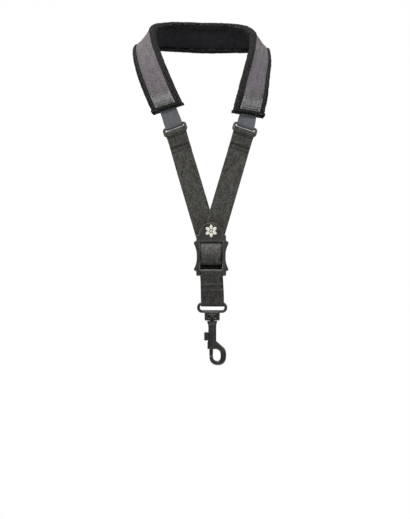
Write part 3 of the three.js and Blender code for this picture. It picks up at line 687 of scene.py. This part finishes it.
def build_band():
    """Brushed webbing on the pad's face, with soft lengthwise furrows and a low crown."""
    section = band_section(WEBBING_WIDTH / 2, BAND_LOW, BAND_HIGH, crown=0.45, across=44)
    rings, uv, out = carry(section, PAD, PAD.steps(1.0))
    flat = on_cloth(uv[..., 0], uv[..., 1])
    furrows = 0.3 * wobble(flat * [1, 0.12, 1], 3.2, 6) + 0.4 * wobble(flat * [1, 0.6, 1], 8.0, 5)
    sewn_edges = -0.35 * hump(np.abs(section[:, 0]), 11.7, 0.7)
    lift = (section[:, 1] > BAND_HIGH - 0.3) * (furrows + sewn_edges)
    shape = loft(rings + out * lift[..., None], uv)
    make_piece("band", shape, BAND_CLOTH, "band_webbing", "pad", "pad_band")


# The rolled tape's section on the shoulder side, from its lip over the band round to its lip under the
# lining, and its hidden faces against the pad.
TAPE_OUTSIDE = [
    [(12.75, 5.75), (12.85, 6.9), (14.1, 7.6), (16.2, 7.5), (18.2, 6.5), (19.1, 4.7), (19.3, 2.8)],
    [(19.0, 0.8), (17.9, -0.9), (16.1, -1.5), (14.2, -1.5), (13.0, -1.0), (12.8, -0.15)],
]
TAPE_INSIDE = [(16.9, -0.15), (17.35, 1.5), (17.35, 4.5), (16.9, 5.75)]


def build_edge_tape(name, side, node):
    """The tape rolled round one edge of the pad, with a plush skin on its outside."""
    outer = catmull_rom(np.vstack(TAPE_OUTSIDE), centripetal=True, per_span=4)
    section = np.vstack([outer, TAPE_INSIDE])
    section = section[::-1] if side > 0 else section * [-1, 1]
    skin = slice(len(TAPE_INSIDE), None) if side > 0 else slice(0, len(outer))
    rings, uv, _ = carry(section, PAD, PAD.steps(0.8))
    uv[..., 0] = section[:, 0] * 1.3 + section[:, 1]
    normals = unit(np.cross(np.gradient(rings, axis=1), np.gradient(rings, axis=0)))
    lift = 0.3 * wobble(rings, 5.5, side) + 0.42 * wobble(rings, 1.9, side + 7)
    rings[:, skin] += (normals * lift[..., None])[:, skin]
    make_piece(name, loft(rings, uv), TAPE_CLOTH, "edge_tape", "pad", node, sharp=70)


def build_end_tape(name):
    """The tape rolled over one end of the pad, with its two ends pinched into soft corners."""
    top, bottom, corner = 8.3, -2.2, 1.5
    lip, top_turn, foot_turn, foot_lip, end = (PAD.inward(name, d) for d in (1.2, -0.4, 0.4, 2.6, -1.9))
    path = draw(
        (top, lip),
        (0.5, (top, top_turn)),
        (8, (top, end), (top - 0.3, end), (top - corner, end)),
        (0.8, (bottom + corner, end)),
        (8, (bottom + 0.3, end), (bottom, end), (bottom, foot_turn)),
        (0.5, (bottom, foot_lip)),
    )

    def corners(v, _):
        return -1.7 * np.clip((np.abs(v) - 17.2) / 2.6, 0, 1) ** 2

    shape = ribbon(path, PAD, PAD_WIDTH + 1.6, 1.6, ripple=0.5, seed=7, crown=0.0, across=64, lift=corners)
    make_piece(f"end_tape_{name}", shape, TAPE_CLOTH, "edge_tape", "pad", f"pad_end_tape_{name}", sharp=70)


def build_patch(name):
    """The band's end, doubled over and sewn down."""
    section = band_section(WEBBING_WIDTH / 2 - 0.1, 7.45, 8.4, crown=0.3, across=30)
    ends = sorted(PAD.inward(name, d) for d in (PATCH_START, PATCH_START + PATCH_LENGTH))
    shape = rippled(section, PAD, np.linspace(*ends, 26), ripple=0.35, size=5, seed=9)
    make_piece(f"patch_{name}", shape, PATCH_CLOTH, "band_webbing", "pad", f"pad_patch_{name}")


def build_pad_stitching():
    """Rows along both tapes on both faces, and three rows across each patch."""
    seams = []
    for side in (-1, 1):
        for v, n, style in ((14.3, 7.6, {"radius": 0.3}), (14.4, -1.62, {"lift": -0.16})):
            seams += stitches_along(PAD, 5, PAD.length - 5, side * v, n, pitch=3.1, length=2.2, **style)
    for name in SIDES:
        first, middle, last = (PAD.inward(name, PATCH_START + d) for d in (2.0, 5.4, PATCH_LENGTH - 1.4))
        seams += zigzag(PAD, first, 11.4, 8.75, reach=1.8, step=2.1, radius=0.36)
        seams += stitches_across(PAD, middle, 11.2, 8.8, pitch=2.5, length=1.7)
        seams += stitches_across(PAD, last, 11.4, 8.75, length=2.2)
    make_piece("pad_stitching", join_parts(seams), DARK_THREAD, "edge_tape", "pad")


# --- tabs, rings and legs


def build_tab(name):
    """The ribbon tab comes out of the pad's end, folds round the ring's upper bar and goes back in."""
    route = tab_route(name)
    end = route.length
    loop = RING_DEPTH / 2 + 0.15 + TAB_THICKNESS / 2
    flat = TAB_THICKNESS / 2 + 0.1
    path = draw(
        (flat, -4),
        (1.6, (flat, 0)),
        (16, (flat, end * 0.4), (loop, end * 0.5), (loop, end)),
        arc((0, end), loop, 0, 180),
        (16, (-loop, end * 0.5), (-flat, end * 0.4), (-flat, 0)),
        (1.6, (-flat, -4)),
    )
    shape = ribbon(path, route, TAB_WIDTH, TAB_THICKNESS, ripple=0.14, seed=31)
    bodies, reach = ("pad", f"{name}_ring"), [1.0, end - 1.0]
    make_strap(f"tab_ribbon_{name}", shape, TAB_CLOTH, "tab_webbing", bodies, route, reach, f"tab_{name}")


def closed_sweep(centre, section, across, up, out, origin, widen=1.0):
    """Sweeps a section in (outward, out) round a closed flat line in (across, up). widen scales the
    section's first coordinate at each point of the line."""
    forward = unit(np.roll(centre, -1, 0) - np.roll(centre, 1, 0))
    outward = np.stack([forward[:, 1], -forward[:, 0]], -1)
    reach = np.broadcast_to(widen, len(centre))[:, None] * section[:, 0]
    flat = centre[:, None] + outward[:, None] * reach[..., None]
    points = origin + flat[..., :1] * across + flat[..., 1:] * up + section[:, 1:] * out
    return points.reshape(-1, 3), grid_faces(len(centre), len(section), wrap_rows=True)


def rounded_line(width, height, radius, per_corner=10):
    """A closed counter-clockwise line round a rectangle with rounded corners."""
    x, y = width / 2 - radius, height / 2 - radius
    corners = [((x, y), 0), ((-x, y), 90), ((-x, -y), 180), ((x, -y), 270)]
    return np.vstack([arc(at, radius, start, start + 90, per_corner) for at, start in corners])


def build_ring(name):
    """A moulded ring whose side bars are thinner than its long bars, but thicken into the upper one."""
    top, foot, along, across, out = ring_frame(name)
    width, height, corner = RING_WIDTH - RING_SIDE, RING_HEIGHT - RING_BAR, 2.2
    centre = rounded_line(width, height, corner)
    section = superellipse(RING_BAR / 2, RING_DEPTH / 2, power=2.7, count=28)
    sideways = np.clip((np.abs(centre[:, 0]) - width / 2) / corner + 1, 0, 1)
    shoulders = sideways * np.clip(centre[:, 1] / 2.0 + 0.4, 0, 1)
    centre[:, 0] -= np.sign(centre[:, 0]) * 0.5 * shoulders
    widen = 1 - (1 - RING_SIDE / RING_BAR) * sideways + 0.36 * shoulders
    shape = closed_sweep(centre, section, across, -along, out, (top + foot) / 2, widen)
    make_piece(f"ring_loop_{name}", shape, RING_PLASTIC, "ring_plastic", f"{name}_ring", f"ring_{name}")


def build_leg(name):
    """Up the leg's face, over the ring's lower bar in a loose fold, and down again behind."""
    route = leg_route(name)
    loop = RING_DEPTH / 2 + 0.35 + THICKNESS / 2
    behind = -THICKNESS - 0.12
    path = draw(
        (0, route.length),
        (1.6, (0, 12.0)),
        (12, (0, 8), (0.9, 7.5), (0.5, 5.0)),
        (12, (0.3, 3.6), (loop, 3.4), (loop, 0)),
        arc((0, 0), 1, 0, -180, 28) * [loop, LEG_FOLD_RISE],
        (12, (-loop, 5), (behind, 7), (behind, 12)),
        (1.6, (behind, LEG_RETURN)),
    )

    def wear(v, s):
        """Soft waves down the leg, a ridge where its folded end stops behind it, dents under the sewn rows
        and edges that curl up over the ring's bar."""
        waves = 0.4 * wobble(on_cloth(v, s * 0.35), 9.0, 40 + SIDES[name])
        ridge = 0.25 / (1 + np.exp((s - LEG_RETURN) / 0.5)) * (s > 0)
        dents = -0.5 * sum(hump(s, row, 0.8) for row in LEG_ROWS)
        pillow = 0.55 * hump(s, (LEG_ROWS[0] + LEG_ROWS[1]) / 2, 1.3)
        curl = 1.2 * np.clip((np.abs(v) - 6.5) / 5, 0, 1) ** 2 * (s < -1.5)
        return waves + ridge + dents + pillow + curl

    seed = 41 + SIDES[name]
    shape = ribbon(path, route, LEG_WIDTH, THICKNESS, ripple=0.18, seed=seed, lift=wear)
    bodies, reach = ("left_ring", "v_strap"), [1.0, 16.0]
    make_strap(f"leg_webbing_{name}", shape, LEG_CLOTH, "leg_webbing", bodies, route, reach, f"leg_{name}")


def build_leg_stitching(name):
    """Sewn rows through both layers below the fold, seen on the face and on the back."""
    route = leg_route(name)
    face = THICKNESS / 2 + 0.42
    back = -1.5 * THICKNESS - 0.32
    half = LEG_WIDTH / 2 - 1.6
    stitch = {"pitch": 2.6, "length": 2.0}
    rows = []
    for s in LEG_ROWS[1:]:
        rows += stitches_across(route, s, half, face, radius=0.34, **stitch)
        rows += stitches_across(route, s, half, back, radius=0.3, lift=-0.16, **stitch)
    rows += zigzag(route, 14.6, half, face, reach=1.6, step=2.0, radius=0.32)
    for v in (-half, half):
        rows += stitches_along(route, 15.6, 21.4, v, face, radius=0.3, **stitch)
    make_piece(f"leg_stitching_{name}", join_parts(rows), DARK_THREAD, "leg_webbing", "v_strap")


def build_join_stitching():
    """A box of stitches on the back, where the legs and the adjusting strap are sewn together."""
    y = LEG_FOOT_Y["left"] + 1.5 * THICKNESS + 0.45
    left, right, top, bottom = V_X - 9.6, V_X + 9.6, -238.6, -245.6
    corners = [(left, y, top), (right, y, top), (right, y, bottom), (left, y, bottom), (left, y, top)]
    rows = []
    for ends in zip(corners, corners[1:]):
        rows += stitch_line(ends, [(0, 1, 0), (0, 1, 0)], pitch=2.6, length=2.0)
    make_piece("join_stitching", join_parts(rows), DARK_THREAD, "leg_webbing", "v_strap")


# --- adjusting strap

BEHIND_BAR = HOOK_Y - FOOT_BAR["back"] - GAP - LAYER - THICKNESS / 2


def build_upper_strap():
    """Comes down behind the top bar, bulges through the window over the cross bar, turns in sharply below
    and goes down behind the foot bar."""
    z = -SLIDER_Z
    lap = HOOK_Y - LEG_FOOT_Y["left"] - LAYER
    over = HOOK_Y - CROSS_BAR["front"] + THICKNESS / 2 + GAP
    inside = BEHIND_BAR - 2.4
    path = draw(
        (lap, 237),
        (1.6, (lap, 245)),
        (12, (lap, 248), (over, z - 19), (over, z - 14)),
        (0.8, (over, z + 6.5)),
        (14, (over, z + 9.0), (over - 0.6, z + 9.3), (over - 2.2, z + 9.3)),
        (10, (inside, z + 9.3), (inside, z + 10), (inside, z + 14)),
        (8, (inside, z + 17), (BEHIND_BAR, z + 17), (BEHIND_BAR, z + 21)),
        (1.6, (BEHIND_BAR, STRAP_DIVIDE)),
    )

    def bulge(v, s):
        """Swells out just below the top bar, then slopes gently back to the cross bar's foot."""
        rise = np.clip((s - z + 15.6) / 8.0, 0, 1)
        fall = np.clip((z + 10.4 - s) / 17.5, 0, 1)
        smooth = np.sin(rise * math.pi / 2) * np.sin(fall * math.pi / 2)
        return 4.2 * smooth * np.clip(1 - np.abs(v / 12.3) ** 8, 0, 1)

    width = WEBBING_WIDTH + 0.1
    points, faces, uv = ribbon(path, PLUMB, width, THICKNESS, 0.14, 51, across=40, lift=bulge)
    upright = np.clip((points[:, 2] + STRAP_DIVIDE) / 14, 0, 1)
    points[:, 0] -= STRAP_LEAN * (SLIDER_Z - points[:, 2]) * upright
    # Painted highlights: the hump's upper half, where light from above falls, painted paler, and a fainter
    # painted highlight further down.
    painted_highlights = [(20.0, 16.5, 0.95), (38.0, 6.0, 0.3)]
    cloth = webbing_material("upper strap webbing", *STRAP_GREYS, painted_highlights=painted_highlights)
    shape, name = (points, faces, uv), "adjusting_strap_upper"
    make_strap(name, shape, cloth, "leg_webbing", ("v_strap", "slider"), PLUMB, [244, 250], "strap_upper")


def front_length(s):
    """How far out the strap's front length lies, on its straight line from the foot bar to the eye."""
    out = HOOK_Y - FOOT_BAR["front"] + GAP + THICKNESS / 2
    return np.interp(s, [-FOOT_BAR["foot"], EYE_BAR], [out, EYE_LOOP])


def ridges(_, s):
    """The strap's face rises over its sewn row and over the cut end behind it."""
    return 0.7 * hump(s, SEWN_ROW, 0.9) + 0.9 * hump(s, SEWN_END, 0.9)


def build_strap_fold():
    """The strap's end comes up from behind the foot bar, over it and down the front, round the eye and up
    the back."""
    start = -FOOT_BAR["foot"]
    half_bar = (FOOT_BAR["back"] - FOOT_BAR["front"]) / 2
    middle = HOOK_Y - (FOOT_BAR["front"] + FOOT_BAR["back"]) / 2
    radius = half_bar + GAP + THICKNESS / 2
    turn = -FOOT_BAR["top"] + half_bar
    back, front = middle - radius, middle + radius
    path = draw(
        (front_length(SEWN_END) - LAYER, SEWN_END),
        (0.8, (front_length(start + 6) - LAYER, start + 6)),
        (12, (middle, start + 3), (back, start + 3.5), (back, start)),
        (0.8, (back, turn)),
        arc((middle, turn), radius, 180, 360),
        (0.8, (front, start)),
        (0.8, (EYE_LOOP, EYE_BAR)),
        arc((0, EYE_BAR), EYE_LOOP, 0, 180),
        (1.6, (BEHIND_BAR, STRAP_DIVIDE + 2)),
        (1.6, (BEHIND_BAR, STRAP_DIVIDE + 0.1)),
    )
    points, faces, uv = ribbon(path, PLUMB, WEBBING_WIDTH, THICKNESS, 0.16, 61, across=26, lift=ridges)
    crest = run_along(path)[np.argmin(path[:, 1])]
    below_crest = crest + math.pi / 2 * radius - turn
    # Painted highlights: the fold's crest over the foot bar, where light from above falls, and fainter ones
    # on the raised sewn row and cut end.
    painted_highlights = [(crest + 0.6, 2.6, 1.0)] + [(below_crest + s, 1.1, 0.3) for s in (SEWN_ROW, SEWN_END)]
    lean = np.clip((path[:, 1] - 284) / 26, 0, 1) * (path[:, 0] > 0)
    points[:, 0] += 0.9 * np.repeat(lean, len(points) // len(path))
    cloth = webbing_material("lower strap webbing", *STRAP_GREYS, painted_highlights=painted_highlights)
    shape, name, nodes = (points, faces, uv), "adjusting_strap_fold", ("strap_end", "strap_fold")
    make_strap(name, shape, cloth, "leg_webbing", ("slider", "fold"), PLUMB, [307, 318], *nodes)


def build_strap_stitching():
    """Two sewn rows that hold the strap's folded end, sunk in its face."""
    rows = []
    for s in (SEWN_ROW, SEWN_END - 0.8):
        n = front_length(s) + THICKNESS / 2 + 0.25
        rows += stitches_across(PLUMB, s, 11.0, n, pitch=2.5, length=1.9, radius=0.28)
    make_piece("strap_stitching", join_parts(rows), DARK_THREAD, "leg_webbing", "slider")


# --- moulded pieces


def evaluated_shape(holder):
    """The points and faces of an object with its modifiers applied."""
    mesh = bpy.data.meshes.new_from_object(holder.evaluated_get(bpy.context.evaluated_depsgraph_get()))
    shape = np.array([v.co for v in mesh.vertices]), [tuple(p.vertices) for p in mesh.polygons]
    bpy.data.meshes.remove(mesh)
    return shape


def flat_plate(outline, front, back, bevel, hole=None):
    """A plate drawn in (x, z) with rounded edges, from y front to y back."""
    curve = bpy.data.curves.new("outline", "CURVE")
    curve.dimensions = "2D"
    curve.fill_mode = "BOTH"
    curve.extrude = (back - front) / 2 - bevel
    curve.bevel_depth = bevel
    curve.bevel_resolution = 3
    curve.offset = -bevel
    for points in (outline,) if hole is None else (outline, hole):
        spline = curve.splines.new("POLY")
        spline.points.add(len(points) - 1)
        for target, (x, z) in zip(spline.points, points):
            target.co = (x, z, 0, 1)
        spline.use_cyclic_u = True
    holder = linked("outline", curve)
    points, faces = evaluated_shape(holder)
    bpy.data.objects.remove(holder)
    x, z, forward = points.T
    return np.stack([x, (front + back) / 2 - forward, z], -1), faces


def rounded_block(low, high, bevel):
    """A box between two corners with rounded upright and level edges."""
    (x0, y0, z0), (x1, y1, z1) = low, high
    return flat_plate([(x0, z0), (x1, z0), (x1, z1), (x0, z1)], y0, y1, bevel)


def lathe(profile, x=HOOK_X, segments=48):
    """A solid turned about an upright axis, from (radius, z) points that start and end on the axis."""
    profile = np.asarray(profile, float)
    angles = np.linspace(0, 2 * math.pi, segments, endpoint=False)
    radius, z = profile[1:-1, :1], profile[1:-1, 1:]
    rings = [x + radius * np.cos(angles), HOOK_Y + radius * np.sin(angles), z + 0 * angles]
    ends = [[x, HOOK_Y, profile[0, 1]], [x, HOOK_Y, profile[-1, 1]]]
    points = np.vstack([np.stack(rings, -1).reshape(-1, 3), ends])
    first, last = len(points) - 2, len(points) - 1
    row = first - segments
    faces = grid_faces(len(radius), segments)
    faces += [(first, (j + 1) % segments, j) for j in range(segments)]
    faces += [(last, row + j, row + (j + 1) % segments) for j in range(segments)]
    return points, faces


def temporary(shape):
    """A closed object in millimetres, to fuse or to cut with."""
    points, faces = shape
    mesh = bpy.data.meshes.new("part")
    mesh.from_pydata(np.asarray(points).tolist(), [], faces)
    bm = bmesh.new()
    bm.from_mesh(mesh)
    bmesh.ops.remove_doubles(bm, verts=bm.verts, dist=1e-4)
    bmesh.ops.recalc_face_normals(bm, faces=bm.faces)
    bm.to_mesh(mesh)
    bm.free()
    return linked("part", mesh)


def fuse(parts, cuts=(), voxel=0.3, smooth=2):
    """Melts closed parts into one moulded body with small fillets, after the cuts are taken out of it."""
    body = temporary(join_parts(parts))
    tools = [temporary(cut) for cut in cuts]

    def remesh():
        modifier = body.modifiers.new("remesh", "REMESH")
        modifier.mode = "VOXEL"
        modifier.voxel_size = voxel

    remesh()
    for tool in tools:
        boolean = body.modifiers.new("cut", "BOOLEAN")
        boolean.object = tool
        boolean.operation = "DIFFERENCE"
        boolean.solver = "EXACT"
    if tools:
        remesh()
    relax = body.modifiers.new("relax", "CORRECTIVE_SMOOTH")
    relax.iterations = smooth
    relax.use_only_smooth = True
    shape = evaluated_shape(body)
    for holder in (body, *tools):
        bpy.data.objects.remove(holder)
    return shape


def shifted(points, x=HANG_X, z=SLIDER_Z):
    return np.asarray(points) + [x, z]


def slider_outline():
    """The outline from the crest down, in x from the slider's middle and z from its window's middle."""
    half = draw(
        (0, CREST_RISE + 14.0),
        arc((0, 0), 1, 90, 0, 22) * [13.6, 14.0] + [0, CREST_RISE],
        [(16.0, CREST_RISE), (16.6, 22.8), (16.6, 17.0)],
        (8, (19.4, 16.6), (20.2, 14.8), (18.6, 11.8)),
        (16, (15.2, 5.0), (15.2, -6.5), (18.6, -12.8)),
        (8, (20.2, -15.4), (19.2, -16.9), (16.8, -17.0)),
        [(16.7, -21.6), (15.9, -22.4)],
    )
    return np.vstack([half[1:], half[::-1][:-1] * [-1, 1], half[:1]])


def build_slider():
    """The window is open at its foot, where the strap comes out over the foot bar."""
    front, back = SLIDER_FRONT, SLIDER_FRONT + SLIDER_PLATE
    plate = flat_plate(shifted(slider_outline()), front, back, 0.8)
    top, half, corner, foot = 15.6, 12.6, 1.4, -24.0
    left_corner = arc((corner - half, top - corner), corner, 90, 180, 7)
    right_corner = arc((half - corner, top - corner), corner, 0, 90, 7)
    window_line = np.vstack([right_corner, left_corner, [(-half, foot), (half, foot)]])
    window = flat_plate(shifted(window_line), front - 3, back + 0.6, 0.3)
    walls = [
        rounded_block((HANG_X + a, back - 1.3, SLIDER_Z - 21), (HANG_X + b, -157.4, SLIDER_Z + 15.2), 0.6)
        for a, b in ((-16.2, -12.65), (12.65, 16.2))
    ]
    disc = np.vstack([arc((0, CREST_RISE), 12.2, 0, 180, 40), [(-12.2, 17.4), (12.2, 17.4)]])
    boss = flat_plate(shifted(disc), front - 0.55, front + 1.2, 0.5)
    x, z = shifted(arc((0, 0), 1, -4, 184, 60) * [12.7, 13.1] + [0, CREST_RISE]).T
    rim = tube(np.stack([x, np.full(60, front - 0.1), z], -1), 0.62, 12)
    beads = []
    for x in (HANG_X - 13.4, HANG_X + 13.4):
        beads.append(tube([(x, front + 0.15, SLIDER_Z + z) for z in (-21.0, 16.5)], 0.7, 12))
    left, right = HANG_X - 13.8, HANG_X + 13.8
    low, high = SLIDER_Z - CROSS_BAR["half"], SLIDER_Z + CROSS_BAR["half"]
    cross_bar = rounded_block((left, CROSS_BAR["front"], low), (right, CROSS_BAR["back"], high), 1.4)
    low, high = FOOT_BAR["foot"], FOOT_BAR["top"]
    foot_bar = rounded_block((left, FOOT_BAR["front"], low), (right, FOOT_BAR["back"], high), 1.2)
    frame_shape = fuse([plate, boss, rim, *beads, *walls], [window])
    shape = fuse([frame_shape, cross_bar, foot_bar], smooth=1)
    material, slot = SLIDER_PLASTIC, "slider_plastic"
    make_piece("slider_moulding", shape, material, slot, "slider", "slider_frame", sharp=80)


def build_badge():
    """A plain rosette: six leaf-shaped petals round a bead, raised on the crest."""
    middle = (HANG_X, SLIDER_Z + 27.8)
    front, back = SLIDER_FRONT - 1.25, SLIDER_FRONT - 0.2
    half = bezier((1.7, 0), (3.0, 2.7), (5.6, 2.3), (7.2, 0), 10)
    leaf = np.vstack([half, half[-2:0:-1] * [1, -1]])
    parts = []
    for k in range(6):
        c, s = math.cos(math.pi / 2 + k * math.pi / 3), math.sin(math.pi / 2 + k * math.pi / 3)
        parts.append(flat_plate(shifted(leaf @ [[c, s], [-s, c]], *middle), front, back, 0.35))
    bead = arc((0, 0), 1.25, 0, 345)
    parts.append(flat_plate(shifted(bead, *middle), front - 0.1, back, 0.45))
    make_piece("badge_rosette", join_parts(parts), BADGE_METAL, "badge", "slider", "slider_badge")


def build_eye():
    """An oval loop over a yoke, whose two arms hold the hook's swivelling head."""
    x_axis, y_axis, z_axis = np.eye(3)
    wire = EYE["wire"]
    centre = rounded_line(EYE["width"] - wire, EYE["height"] - wire, 4.1, 14)
    section = superellipse(wire / 2, wire / 2, power=2.3, count=24)
    loop = closed_sweep(centre, section, x_axis, z_axis, -y_axis, np.array([HOOK_X, HOOK_Y, EYE["z"]]))
    top, foot, half = -330.6, -340.3, 8.5
    side = foot + 0.9
    outline = [(-7.6, foot), (7.6, foot), (half, side), (half, top), (-half, top), (-half, side)]
    window = [(-4.5, foot + 2.8), (-3.7, -333.2), (3.7, -333.2), (4.5, foot + 2.8)]
    outline, window = shifted(outline, HOOK_X, 0), shifted(window, HOOK_X, 0)
    yoke = flat_plate(outline, HOOK_Y - 3.5, HOOK_Y + 3.5, 0.7, window)
    hole = lathe([(0, foot - 2), (2.5, foot - 2), (2.5, foot + 4), (0, foot + 4)], segments=32)
    shape = fuse([loop, yoke], [hole], voxel=0.24, smooth=3)
    make_piece("eye_moulding", shape, HOOK_PLASTIC, "hook_plastic", "eye", "swivel_eye", sharp=80)


def hook_outline():
    """The nose under the barrel and the hook's bend, in x from the barrel's axis and in z."""
    foot, tip = -372.3, -379.95
    return draw(
        (-5.3, -364.4),
        [(-5.3, foot), (4.6, foot)],
        (8, (7.4, -373.0), (9.3, -374.8), (9.4, -378)),
        (10, (9.6, -382.6), (9.2, -385.4), (5.6, -385.5)),
        (10, (2.2, -385.4), (1.0, -383.4), (1.0, tip)),
        [(-3.1, tip)],
        (14, (-3.2, -386.8), (0.4, -390.3), (6.4, -390.3)),
        (14, (13.2, -390.2), (15.7, -386.0), (15.7, -379)),
        (10, (15.7, -374.4), (14.8, -372.0), (12.6, -370.2)),
        [(4.4, -363.0), (3, -360), (-3, -360)],
    )


def build_hook():
    """Barrel, swivel post and head, and the bend, with the bolt's bore and the thumb tab's slot cut out."""
    top, foot, radius = -340.8, -372.2, 4.6
    shaft = [(4.3, foot), (radius, foot + 0.5), (radius, -349), (4.7, -345.5), (5.6, -342.0), (5.6, top)]
    barrel = lathe([(0, foot), *shaft, (0, top)])
    bend = flat_plate(shifted(hook_outline(), HOOK_X, 0), HOOK_Y - 3.3, HOOK_Y + 3.3, 1.7)
    post = lathe([(0, -342), (2.1, -342), (2.1, -336.6), (0, -336.6)], segments=32)
    rim = [(4.35, -337.3), (4.4, -336.9), (3.75, -333.7), (3.5, -333.4)]
    head = lathe([(0, -337.3), *rim, (0, -333.4)], segments=40)
    bore = lathe([(0, -374), (2.5, -374), (2.5, -342.6), (0, -342.6)], BORE_X, 40)
    slot = rounded_block((HOOK_X - 10, HOOK_Y - 1.4, -364.2), (BORE_X, HOOK_Y + 1.4, -344.6), 0.5)
    shape = fuse([barrel, post, head, bend], [bore, slot], voxel=0.24, smooth=3)
    make_piece("hook_moulding", shape, HOOK_PLASTIC, "hook_plastic", "hook", "hook_body", sharp=80)


def build_bolt():
    rim = [(1.6, -379.8), (2.0, -379.3), (2.1, -378.6), (2.1, -357), (1.8, -356.5)]
    rod = lathe([(0, -379.8), *rim, (0, -356.5)], BORE_X)
    make_piece("bolt_rod", rod, HOOK_PLASTIC, "hook_plastic", "bolt", "bolt")


def build_thumb_tab():
    """A ridged grip that saddles the barrel, on a stem through the barrel's slot."""
    inner, outer, valley = HOOK_X - 3.6, HOOK_X - 9.2, HOOK_X - 8.3
    high, low, count = -353.4, -362.6, 4
    pitch = (high - low) / count
    outline = [(inner, low), (inner, high)]
    for i in range(count):
        z = high - pitch * i
        ridge = ((valley, 0), (outer, 0.3), (outer, 0.65), (valley, 0.95))
        outline += [(x, z - pitch * share) for x, share in ridge]
    outline.append((valley, low))
    grip = flat_plate(outline[::-1], HOOK_Y - 3.4, HOOK_Y + 3.4, 0.3)
    around = lathe([(0, low - 2), (5.0, low - 2), (5.0, high + 2), (0, high + 2)])
    z = (high + low) / 2 - 1.2
    stem = rounded_block((HOOK_X - 6, HOOK_Y - 1.0, z - 1.4), (BORE_X - 0.3, HOOK_Y + 1.0, z + 1.4), 0.3)
    shape = fuse([fuse([grip], [around], voxel=0.17), stem], voxel=0.17)
    make_piece("thumb_grip", shape, HOOK_PLASTIC, "hook_plastic", "bolt", "thumb_tab", sharp=80)


def build_spring():
    """A coil of wire in the bolt's bore, above the bolt."""
    turns, radius, low, high = 6, 1.75, -355.9, -343.1
    t = np.linspace(0, 1, turns * 24)
    angle = 2 * math.pi * turns * t
    coil = [BORE_X + radius * np.cos(angle), HOOK_Y + radius * np.sin(angle), low + t * (high - low)]
    shape = tube(np.stack(coil, -1), 0.25, 10)
    spring = make_piece("spring_coil", shape, SPRING_STEEL, "spring_steel", "hook", "bolt_spring")
    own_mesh(spring)


# --- camera, stage and light


def build_camera():
    camera = bpy.data.cameras.new("camera")
    camera.lens = 99.05
    camera.sensor_width = 36
    camera.clip_end = 50
    holder = linked("camera", camera)
    holder.location = (0.0021, -1.761, -0.272)
    holder.rotation_euler = (math.pi / 2, 0, 0)
    bpy.context.scene.camera = holder


def build_stage():
    """A round sheet of pale paper below the hanging strap."""
    look = Shader("studio paper", roughness=0.9, specular=0.1, on_object=True)
    look.set("Base Color", look.mix(look.noise(120.0, 2), (0.88, 0.885, 0.89), (0.9, 0.9, 0.905)))
    radius, floor_z, sides = 1150.0, -850.0, 96
    angles = np.linspace(0, 2 * math.pi, sides, endpoint=False)
    points = [(radius * math.cos(a), radius * math.sin(a), floor_z) for a in angles]
    floor = make_piece("studio_floor", (points, [range(sides)]), look.material, None, None, sharp=80)


def add_area_light(name, place, target, size, watts, colour=(1, 1, 1)):
    light = bpy.data.lights.new(name, "AREA")
    light.shape = "RECTANGLE"
    light.size, light.size_y = size
    light.energy = watts
    light.color = colour
    holder = linked(name, light)
    holder.location = place
    holder.rotation_euler = (Vector(target) - Vector(place)).to_track_quat("-Z", "Y").to_euler()


def build_world(ambient):
    """White paper to the camera, and only a low ambient light on the object."""
    world = bpy.data.worlds.new("studio")
    world.use_nodes = True
    nodes, links = world.node_tree.nodes, world.node_tree.links
    room = nodes["Background"]
    room.inputs["Color"].default_value = (0.97, 0.98, 1, 1)
    room.inputs["Strength"].default_value = ambient
    paper = nodes.new("ShaderNodeBackground")
    paper.inputs["Color"].default_value = (1, 1, 1, 1)
    rays = nodes.new("ShaderNodeLightPath")
    choose = nodes.new("ShaderNodeMixShader")
    sources = (rays.outputs["Is Camera Ray"], room.outputs[0], paper.outputs[0])
    for source, socket in zip(sources, choose.inputs):
        links.new(source, socket)
    links.new(choose.outputs[0], nodes["World Output"].inputs["Surface"])
    bpy.context.scene.world = world


def build_lights():
    build_world(ambient=0.2)
    middle = (0, -0.1, -0.2)
    add_area_light("key", (-0.4, -1.05, 1.45), middle, (0.6, 0.6), 52, (1, 0.985, 0.96))
    add_area_light("fill", (1.2, -1.6, 0.3), middle, (1.2, 1.2), 7, (0.95, 0.975, 1))
    add_area_light("rim", (-1.3, 0.5, 0.5), middle, (0.5, 1.4), 16)
    add_area_light("rim right", (1.2, 0.6, 0.6), middle, (0.5, 1.4), 10)
    add_area_light("overhead", (0.1, 0.0, 1.9), (0, 0, -0.85), (1.8, 1.8), 60)
    scene = bpy.context.scene
    scene.view_settings.view_transform = "Standard"
    scene.view_settings.exposure = 0.0


# --- build

build_camera()
build_stage()
build_lights()

build_pad_core()
build_pad_lining()
build_band()
build_edge_tape("edge_tape_neck", -1, "pad_binding_neck")
build_edge_tape("edge_tape_shoulder", 1, "pad_binding_shoulder")
build_pad_stitching()
for strap_side in SIDES:
    build_end_tape(strap_side)
    build_patch(strap_side)
    build_tab(strap_side)
    build_ring(strap_side)
    build_leg(strap_side)
    build_leg_stitching(strap_side)
build_join_stitching()
build_upper_strap()
build_strap_fold()
build_strap_stitching()
build_slider()
build_badge()
build_eye()
build_hook()
build_bolt()
build_thumb_tab()
build_spring()
